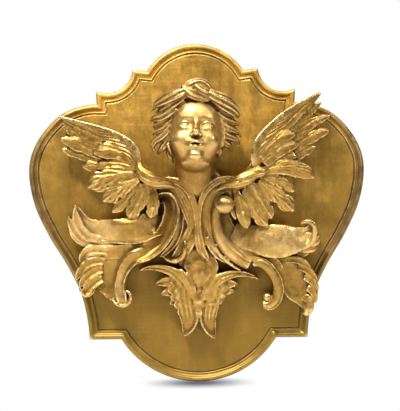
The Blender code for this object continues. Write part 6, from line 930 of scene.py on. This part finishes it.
# ---------------------------------------------------------------- materials
class Nodes:
    """A short hand for building one node material."""

    def __init__(self, name):
        self.mat = bpy.data.materials.new(name)
        self.mat.use_nodes = True
        self.tree = self.mat.node_tree
        self.shader = self.tree.nodes["Principled BSDF"]
        self.coord = self.make("ShaderNodeTexCoord").outputs["Object"]

    def make(self, kind, **values):
        n = self.tree.nodes.new(kind)
        for k, v in values.items():
            setattr(n, k, v)
        return n

    def put(self, socket, value):
        if hasattr(value, "is_output"):
            self.tree.links.new(value, socket)
        else:
            socket.default_value = value

    def noise(self, scale, detail=4.0, rough=0.55, stretch=(1, 1, 1), shift=(0, 0, 0), distort=0.0):
        m = self.make("ShaderNodeMapping")
        m.inputs["Scale"].default_value = stretch
        m.inputs["Location"].default_value = shift
        self.put(m.inputs["Vector"], self.coord)
        n = self.make("ShaderNodeTexNoise")
        n.inputs["Scale"].default_value = scale
        n.inputs["Detail"].default_value = detail
        n.inputs["Roughness"].default_value = rough
        n.inputs["Distortion"].default_value = distort
        self.put(n.inputs["Vector"], m.outputs["Vector"])
        return n.outputs["Fac"]

    def math(self, how, a, b=0.0, c=None, clamp=False):
        n = self.make("ShaderNodeMath", operation=how, use_clamp=clamp)
        self.put(n.inputs[0], a)
        self.put(n.inputs[1], b)
        if c is not None:
            self.put(n.inputs[2], c)
        return n.outputs[0]

    def span(self, value, a, b, c=0.0, d=1.0):
        n = self.make("ShaderNodeMapRange")
        n.interpolation_type = "SMOOTHSTEP"
        self.put(n.inputs["Value"], value)
        for k, v in (("From Min", a), ("From Max", b), ("To Min", c), ("To Max", d)):
            n.inputs[k].default_value = v
        return n.outputs["Result"]

    def mix(self, factor, a, b, how="MIX"):
        n = self.make("ShaderNodeMix", data_type="RGBA", blend_type=how)
        self.put(n.inputs["Factor"], factor)
        for s, v in ((n.inputs["A"], a), (n.inputs["B"], b)):
            self.put(s, v if hasattr(v, "is_output") else (*v, 1.0))
        return n.outputs["Result"]

    def bump(self, height, strength, distance, normal=None):
        n = self.make("ShaderNodeBump")
        n.inputs["Strength"].default_value = strength
        n.inputs["Distance"].default_value = distance
        self.put(n.inputs["Height"], height)
        if normal is not None:
            self.put(n.inputs["Normal"], normal)
        return n.outputs["Normal"]

    def occlusion(self, distance, samples=8):
        n = self.make("ShaderNodeAmbientOcclusion", samples=samples)
        n.inputs["Distance"].default_value = distance
        return n.outputs["AO"]

    def axis(self, k):
        n = self.make("ShaderNodeSeparateXYZ")
        self.put(n.inputs[0], self.coord)
        return n.outputs[k]

    def finish(self, **sockets):
        for k, v in sockets.items():
            self.put(self.shader.inputs[k.replace("_", " ")], v)
        return self.mat


def gold_on_carving():
    """Burnished leaf on a carved ground: rubbed through to bole on the ridges, dirt with painted shade in the
    hollows, painted highlights on the ridges and lit places, painted shade on the hair, wings and lower part.
    """
    n = Nodes("gold_leaf_carved")
    cloud = n.noise(13.0, 5.0, 0.6)
    rub = n.noise(95.0, 6.0, 0.65)
    fleck = n.noise(430.0, 3.0, 0.6)
    brush = n.noise(60.0, 3.0, 0.5, stretch=(1.0, 1.0, 0.22), distort=0.6)
    edge = n.make("ShaderNodeNewGeometry").outputs["Pointiness"]
    near = n.occlusion(0.008)
    far = n.occlusion(0.045)
    deep = n.math("MULTIPLY", n.span(near, 0.30, 0.96), n.span(far, 0.08, 0.86, 0.12, 1.0))
    cut = n.span(edge, 0.435, 0.497, 0.18, 1.0)
    leaf = n.mix(n.span(cloud, 0.35, 0.65), (0.330, 0.182, 0.030), (0.470, 0.275, 0.056))
    x, z = n.axis(0), n.axis(2)
    face = n.math("ADD", n.math("POWER", n.math("DIVIDE", n.math("SUBTRACT", x, 0.003), 0.052), 2.0), n.math("POWER", n.math("DIVIDE", n.math("SUBTRACT", z, 0.140), 0.058), 2.0))
    head = n.math("ADD", n.math("POWER", n.math("DIVIDE", x, 0.095), 2.0), n.math("POWER", n.math("DIVIDE", n.math("SUBTRACT", z, 0.145), 0.112), 2.0))
    hair = n.math("MULTIPLY", n.span(head, 0.75, 1.15, 1.0, 0.0), n.span(face, 0.7, 1.2))
    # face painted paler: a painted highlight where the light falls on the forward face
    leaf = n.mix(n.span(face, 0.5, 1.2, 0.50, 0.0), leaf, (0.800, 0.520, 0.190))
    # painted shade between the locks of hair, from occlusion
    leaf = n.mix(n.math("MULTIPLY", hair, n.span(near, 0.50, 0.98, 0.97, 0.55)), leaf, (0.165, 0.077, 0.012))
    # painted shade on the wings, strongest on the left wing and in their hollows
    wing = n.math("MULTIPLY", n.span(z, 0.045, 0.085), n.span(n.math("ABSOLUTE", x), 0.085, 0.12))
    leaf = n.mix(n.math("MULTIPLY", n.math("MULTIPLY", wing, n.span(x, -0.06, 0.0, 1.0, 0.40)), n.span(near, 0.45, 0.97, 0.92, 0.46)), leaf, (0.210, 0.102, 0.013))
    # darker towards the bottom: painted shade of the light from above
    leaf = n.mix(n.span(z, -0.26, -0.04, 0.35, 0.0), leaf, (0.340, 0.200, 0.030))
    leaf = n.mix(n.span(rub, 0.45, 0.75, 0.0, 0.45), leaf, (0.72, 0.47, 0.15))
    # pale patches: painted highlights where light pools on the leaves and scrolls
    for at_x, at_z, wide, high in ((0.158, -0.046, 0.060, 0.028), (-0.190, -0.030, 0.050, 0.040), (-0.131, -0.137, 0.018, 0.034), (0.052, -0.060, 0.030, 0.034)):
        spot = n.math("ADD", n.math("POWER", n.math("DIVIDE", n.math("SUBTRACT", x, at_x), wide), 2.0), n.math("POWER", n.math("DIVIDE", n.math("SUBTRACT", z, at_z), high), 2.0))
        leaf = n.mix(n.math("MULTIPLY", n.span(spot, 0.2, 1.6, 0.8, 0.0), n.span(cloud, 0.3, 0.6, 0.45, 1.0)), leaf, (0.820, 0.545, 0.200))
    # painted highlight along the ridges, broken up by the rub
    leaf = n.mix(n.math("MULTIPLY", n.span(edge, 0.504, 0.55), n.span(rub, 0.35, 0.62, 0.20, 0.95)), leaf, (0.95, 0.70, 0.31))
    # painted highlight on the tops of the locks of hair
    leaf = n.mix(n.math("MULTIPLY", hair, n.span(edge, 0.505, 0.540, 0.0, 0.50)), leaf, (0.92, 0.66, 0.27))
    bole = n.math("MULTIPLY", n.span(edge, 0.53, 0.60), n.span(n.noise(38.0, 5.0, 0.7, shift=(3, 1, 7)), 0.55, 0.66))
    leaf = n.mix(n.math("MULTIPLY", bole, 0.6), leaf, (0.56, 0.25, 0.12))
    # dirt in the hollows and painted shade in one: darkening by occlusion and by concave curvature
    dirt_and_shade = n.math("MULTIPLY_ADD", n.span(rub, 0.3, 0.7), 0.20, n.math("MULTIPLY", n.span(deep, 0.10, 0.95, 0.0, 0.95), cut), clamp=True)
    grime = n.noise(190.0, 6.0, 0.75, shift=(9, 2, 4))
    leaf = n.mix(n.span(grime, 0.32, 0.66, 0.44, 0.0), leaf, (0.260, 0.130, 0.022))
    tone = n.mix(dirt_and_shade, (0.070, 0.028, 0.008), leaf)
    speck = n.span(n.noise(210.0, 2.0, 0.5, shift=(5, 5, 5)), 0.70, 0.76)
    tone = n.mix(n.math("MULTIPLY", speck, 0.25), tone, (0.16, 0.075, 0.025))
    rough = n.math("ADD", n.span(rub, 0.3, 0.7, 0.34, 0.52), n.span(dirt_and_shade, 0.0, 1.0, 0.30, 0.0))
    rough = n.math("SUBTRACT", rough, n.span(edge, 0.502, 0.54, 0.0, 0.14))
    metal = n.span(dirt_and_shade, 0.05, 0.6, 0.15, 0.84)
    metal = n.math("MULTIPLY", metal, n.span(bole, 0.0, 1.0, 1.0, 0.4))
    h = n.math("ADD", n.math("MULTIPLY", rub, 0.6), n.math("MULTIPLY", brush, 0.5))
    normal = n.bump(h, 0.55, 0.0020)
    normal = n.bump(fleck, 0.16, 0.0004, normal)
    return n.finish(Base_Color=tone, Roughness=rough, Metallic=metal, Normal=normal, Coat_Weight=0.08, Coat_Roughness=0.28)


def gold_on_board():
    """Leaf laid over fine canvas: threads both ways, cloudy tone, small dark specks; painted shade on the sides, low
    down and beside the carving, painted highlights on the rim's edges.
    """
    n = Nodes("gold_leaf_canvas")
    x, y, z = n.axis(0), n.axis(1), n.axis(2)
    cloud = n.noise(7.0, 5.0, 0.6)
    mottle = n.noise(42.0, 6.0, 0.7)
    grit = n.noise(520.0, 3.0, 0.7)
    slub_x = n.noise(70.0, 3.0, 0.6, stretch=(1.0, 1.0, 0.06))
    slub_z = n.noise(70.0, 3.0, 0.6, stretch=(0.06, 1.0, 1.0), shift=(0, 4, 2))
    bend = n.math("MULTIPLY", n.noise(9.0, 2.0, 0.5), 0.004)
    warp = n.math("SINE", n.math("MULTIPLY", n.math("ADD", x, bend), 2.0 * math.pi / 0.0021))
    weft = n.math("SINE", n.math("MULTIPLY", n.math("ADD", z, bend), 2.0 * math.pi / 0.0023))
    weave = n.math("MULTIPLY", n.math("ADD", n.math("MULTIPLY", warp, n.span(slub_x, 0.3, 0.7, 0.4, 1.3)), n.math("MULTIPLY", weft, n.span(slub_z, 0.3, 0.7, 0.4, 1.3))), 0.5)
    flat = n.math("MULTIPLY", n.span(n.math("ABSOLUTE", n.math("ADD", y, FIELD)), 0.0004, 0.0010, 1.0, 0.0), 1.0)
    edge = n.make("ShaderNodeNewGeometry").outputs["Pointiness"]
    near = n.occlusion(0.006)
    far = n.occlusion(0.040)
    leaf = n.mix(n.span(cloud, 0.35, 0.66), (0.570, 0.320, 0.0420), (0.760, 0.440, 0.0740))
    leaf = n.mix(n.span(mottle, 0.42, 0.72, 0.0, 0.5), leaf, (0.70, 0.430, 0.085))
    leaf = n.mix(n.span(n.noise(26.0, 4.0, 0.6, stretch=(1.0, 1.0, 0.16), shift=(2, 0, 5)), 0.46, 0.68, 0.0, 0.55), leaf, (0.235, 0.137, 0.018))
    # painted shade down the left and right sides, stronger low down
    side = n.math("MULTIPLY", n.span(n.math("ABSOLUTE", x), 0.17, 0.26), n.span(z, 0.02, 0.20, 1.0, 0.35))
    leaf = n.mix(n.math("MULTIPLY", side, 0.55), leaf, (0.225, 0.128, 0.020))
    streak = n.noise(22.0, 4.0, 0.65, stretch=(1.0, 1.0, 0.10), shift=(6, 3, 1))
    leaf = n.mix(n.math("MULTIPLY", n.span(streak, 0.40, 0.62, 0.0, 0.60), n.span(z, -0.10, 0.20, 1.0, 0.35)), leaf, (0.200, 0.112, 0.014))
    leaf = n.mix(n.math("MULTIPLY", flat, n.span(weave, -0.9, 0.9, 0.40, 0.0)), leaf, (0.24, 0.122, 0.016))
    # darker towards the bottom: painted shade of the light from above
    leaf = n.mix(n.math("MULTIPLY", n.span(n.math("ADD", z, n.math("MULTIPLY", cloud, 0.25)), -0.12, 0.34, 1.0, 0.0), 0.86), leaf, (0.235, 0.142, 0.016))
    # painted shade on the sides of the rim, low down
    painted_side_shade = n.math("MULTIPLY", n.math("SUBTRACT", 1.0, flat), n.math("MULTIPLY", n.span(n.math("ABSOLUTE", x), 0.20, 0.26), n.span(z, 0.10, 0.20, 1.0, 0.2)))
    leaf = n.mix(n.math("MULTIPLY", painted_side_shade, n.span(mottle, 0.30, 0.62, 0.96, 0.60)), leaf, (0.135, 0.080, 0.026))
    # painted highlight on the rim's edges, brighter towards the top
    rim = n.math("MULTIPLY", n.span(edge, 0.515, 0.57), n.span(mottle, 0.35, 0.55))
    leaf = n.mix(n.math("MULTIPLY", rim, n.span(z, -0.20, 0.24, 0.45, 0.95)), leaf, (0.92, 0.70, 0.36))
    bole = n.math("MULTIPLY", n.span(edge, 0.53, 0.58), n.span(n.noise(33.0, 5.0, 0.7, shift=(8, 1, 3)), 0.55, 0.66))
    leaf = n.mix(n.math("MULTIPLY", bole, 0.8), leaf, (0.42, 0.15, 0.07))
    # dirt and painted shade in one: darkening by occlusion beside the carving and in the moulding
    deep = n.math("MULTIPLY", n.span(near, 0.20, 0.80), n.span(far, 0.05, 0.8, 0.45, 1.0))
    dirt_and_shade = n.math("MULTIPLY_ADD", n.span(mottle, 0.3, 0.7), 0.2, n.span(deep, 0.1, 0.95, 0.0, 0.9), clamp=True)
    tone = n.mix(dirt_and_shade, (0.080, 0.036, 0.010), leaf)
    speck = n.span(n.noise(230.0, 3.0, 0.6, shift=(5, 5, 5)), 0.66, 0.72)
    tone = n.mix(n.math("MULTIPLY", speck, 0.55), tone, (0.12, 0.055, 0.015))
    patina = n.noise(95.0, 6.0, 0.75, stretch=(1.0, 1.0, 0.6), shift=(4, 0, 9))
    tone = n.mix(n.math("MULTIPLY", flat, n.span(patina, 0.34, 0.62, 0.62, 0.0)), tone, (0.250, 0.128, 0.018))
    low = n.math("MULTIPLY", n.span(n.math("ABSOLUTE", y), 0.0, 0.024, 1.0, 0.0), n.span(mottle, 0.42, 0.60))
    tone = n.mix(n.math("MULTIPLY", low, 0.8), tone, (0.16, 0.070, 0.026))
    rough = n.math("ADD", n.span(mottle, 0.3, 0.7, 0.36, 0.50), n.span(dirt_and_shade, 0.0, 1.0, 0.25, 0.0))
    metal = n.math("MULTIPLY", n.span(dirt_and_shade, 0.05, 0.6, 0.15, 0.62), n.span(low, 0.0, 1.0, 1.0, 0.3))
    h = n.math("MULTIPLY", weave, flat)
    normal = n.bump(h, 0.30, 0.0004)
    normal = n.bump(n.math("ADD", mottle, n.math("MULTIPLY", grit, 0.5)), 0.30, 0.0009, normal)
    return n.finish(Base_Color=tone, Roughness=rough, Metallic=metal, Normal=normal)


def old_wood():
    """The ungilded back: planed boards of old pale wood, darkened with age."""
    n = Nodes("old_wood_back")
    x = n.axis(0)
    grain = n.noise(30.0, 6.0, 0.6, stretch=(1.0, 1.0, 0.045), distort=0.4)
    ring = n.noise(6.0, 3.0, 0.5, stretch=(1.0, 1.0, 0.10), distort=1.2)
    bands = n.math("SINE", n.math("MULTIPLY_ADD", ring, 60.0, n.math("MULTIPLY", x, 120.0)))
    dust = n.noise(9.0, 5.0, 0.6, shift=(1, 2, 3))
    # three boards, joined edge to edge
    joint = None
    for at in (-0.098, 0.104):
        gap = n.span(n.math("ABSOLUTE", n.math("SUBTRACT", x, at)), 0.0004, 0.0016, 1.0, 0.0)
        joint = gap if joint is None else n.math("MAXIMUM", joint, gap)
    base = n.mix(n.span(grain, 0.3, 0.7), (0.105, 0.058, 0.028), (0.235, 0.145, 0.075))
    base = n.mix(n.span(bands, -1.0, 1.0, 0.0, 0.35), base, (0.13, 0.072, 0.034))
    base = n.mix(n.span(dust, 0.5, 0.75, 0.0, 0.4), base, (0.30, 0.235, 0.165))
    base = n.mix(n.span(n.noise(4.0, 4.0, 0.6, shift=(7, 7, 1)), 0.5, 0.7, 0.0, 0.5), base, (0.06, 0.034, 0.018))
    base = n.mix(joint, base, (0.018, 0.011, 0.007))
    worm = n.make("ShaderNodeTexVoronoi", feature="F1")
    worm.inputs["Scale"].default_value = 42.0
    n.put(worm.inputs["Vector"], n.coord)
    hole = n.math("MULTIPLY", n.span(worm.outputs["Distance"], 0.045, 0.065, 1.0, 0.0), n.span(n.noise(5.0, 1.0, 0.5, shift=(9, 0, 0)), 0.52, 0.56))
    base = n.mix(hole, base, (0.012, 0.007, 0.004))
    h = n.math("SUBTRACT", n.math("SUBTRACT", n.math("ADD", grain, n.math("MULTIPLY", bands, 0.12)), n.math("MULTIPLY", joint, 1.6)), n.math("MULTIPLY", hole, 1.6))
    normal = n.bump(h, 0.5, 0.0009)
    return n.finish(Base_Color=base, Roughness=n.span(grain, 0.3, 0.7, 0.86, 0.70), Metallic=0.0, Normal=normal)


# ---------------------------------------------------------------- the object
canvas, carved, wood = gold_on_board(), gold_on_carving(), old_wood()

panel = add("gilded_board", board(), canvas, wood)
flat_back = np.array([f.normal.y > 0.5 for f in panel.data.polygons])
panel.data.polygons.foreach_set("material_index", flat_back.astype(np.int32).tolist())
panel.data.update()
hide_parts("panel")
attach(panel, "root")

cherub = carving()
cherub.name = "gilded_carving"
cherub.data.materials.clear()
cherub.data.materials.append(carved)
cherub.data.polygons.foreach_set("material_index", [0] * len(cherub.data.polygons))
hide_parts("cherub")
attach(cherub, "root")


# ---------------------------------------------------------------- floor, light and camera
low, high = CAD_BOX
FLOOR_Z = low[2] - 0.0005
floor_mesh = bpy.data.meshes.new("floor")
s = 6.0
floor_mesh.from_pydata([(-s, -s, FLOOR_Z), (s, -s, FLOOR_Z), (s, s, FLOOR_Z), (-s, s, FLOOR_Z)], [], [(0, 1, 2, 3)])
pale = bpy.data.materials.new("pale_floor")
pale.use_nodes = True
pale.node_tree.nodes["Principled BSDF"].inputs["Base Color"].default_value = (0.93, 0.93, 0.93, 1.0)
pale.node_tree.nodes["Principled BSDF"].inputs["Roughness"].default_value = 0.9
pale.node_tree.nodes["Principled BSDF"].inputs["Specular IOR Level"].default_value = 0.1
# for the camera the floor runs out to the white of the studio, with a soft contact shadow painted in under the foot
ft = pale.node_tree
spot = ft.nodes.new("ShaderNodeTexCoord")
spread = ft.nodes.new("ShaderNodeVectorMath")
spread.operation = "MULTIPLY_ADD"
spread.inputs[1].default_value = (1.0 / 0.115, 1.0 / 0.125, 0.0)
spread.inputs[2].default_value = (0.0, 0.045 / 0.125, 0.0)
ft.links.new(spot.outputs["Object"], spread.inputs[0])
away = ft.nodes.new("ShaderNodeVectorMath")
away.operation = "LENGTH"
ft.links.new(spread.outputs["Vector"], away.inputs[0])
shade = ft.nodes.new("ShaderNodeMapRange")
shade.interpolation_type = "SMOOTHSTEP"
shade.inputs["From Min"].default_value = 0.05
shade.inputs["From Max"].default_value = 1.0
ft.links.new(away.outputs["Value"], shade.inputs["Value"])
painted_contact_shadow = ft.nodes.new("ShaderNodeMix")
painted_contact_shadow.data_type = "RGBA"
painted_contact_shadow.inputs["A"].default_value = (0.14, 0.15, 0.18, 1.0)
painted_contact_shadow.inputs["B"].default_value = (1.0, 1.0, 1.0, 1.0)
ft.links.new(shade.outputs["Result"], painted_contact_shadow.inputs["Factor"])
eye = ft.nodes.new("ShaderNodeLightPath")
glow = ft.nodes.new("ShaderNodeEmission")
ft.links.new(painted_contact_shadow.outputs["Result"], glow.inputs["Color"])
blend_of = ft.nodes.new("ShaderNodeMixShader")
ft.links.new(eye.outputs["Is Camera Ray"], blend_of.inputs[0])
ft.links.new(ft.nodes["Principled BSDF"].outputs[0], blend_of.inputs[1])
ft.links.new(glow.outputs[0], blend_of.inputs[2])
ft.links.new(blend_of.outputs[0], ft.nodes["Material Output"].inputs["Surface"])
floor = add("floor", floor_mesh, pale)


def softbox(name, at, towards, size, power, warm=(1.0, 1.0, 1.0)):
    lamp = bpy.data.lights.new(name, "AREA")
    lamp.shape = "RECTANGLE"
    lamp.size, lamp.size_y = size
    lamp.energy = power
    lamp.color = warm
    ob = bpy.data.objects.new(name, lamp)
    bpy.context.scene.collection.objects.link(ob)
    ob.location = at
    ob.rotation_euler = (Vector(towards) - Vector(at)).to_track_quat("-Z", "Y").to_euler()
    return ob


softbox("key", (-0.66, -0.98, 1.75), (0.0, 0.0, 0.05), (0.26, 0.26), 70.0, (1.0, 0.97, 0.92))
softbox("top", (0.10, -1.00, 1.35), (0.0, 0.0, 0.1), (0.9, 0.4), 14.0)
softbox("side", (1.5, -1.2, 1.2), (0.0, 0.0, 0.0), (0.30, 0.45), 10.0)
softbox("behind", (0.8, 2.4, 1.8), (0.0, 0.0, 0.0), (1.6, 1.6), 40.0)

world = bpy.data.worlds.new("studio")
bpy.context.scene.world = world
world.use_nodes = True
wt = world.node_tree
wt.nodes.clear()
out = wt.nodes.new("ShaderNodeOutputWorld")
seen = wt.nodes.new("ShaderNodeBackground")
seen.inputs["Color"].default_value = (1.0, 1.0, 1.0, 1.0)
seen.inputs["Strength"].default_value = 1.0
lit = wt.nodes.new("ShaderNodeBackground")
lit.inputs["Color"].default_value = (1.0, 0.985, 0.96, 1.0)
lit.inputs["Strength"].default_value = 0.085
ray = wt.nodes.new("ShaderNodeLightPath")
pick = wt.nodes.new("ShaderNodeMixShader")
wt.links.new(ray.outputs["Is Camera Ray"], pick.inputs[0])
wt.links.new(lit.outputs[0], pick.inputs[1])
wt.links.new(seen.outputs[0], pick.inputs[2])
wt.links.new(pick.outputs[0], out.inputs["Surface"])

lens = bpy.data.cameras.new("camera")
lens.sensor_fit = "HORIZONTAL"
lens.sensor_width = 36.0
lens.lens = 36.0 * 3200.0 / 716.8
lens.clip_end = 50.0
camera = bpy.data.objects.new("camera", lens)
bpy.context.scene.collection.objects.link(camera)
camera.location = (0.0055, -3.226, 0.0128)
camera.rotation_euler = (math.radians(90.0), LAY_TURN, 0.0)
bpy.context.scene.camera = camera
bpy.context.scene.view_settings.view_transform = "Standard"
bpy.context.scene.view_settings.look = "None"
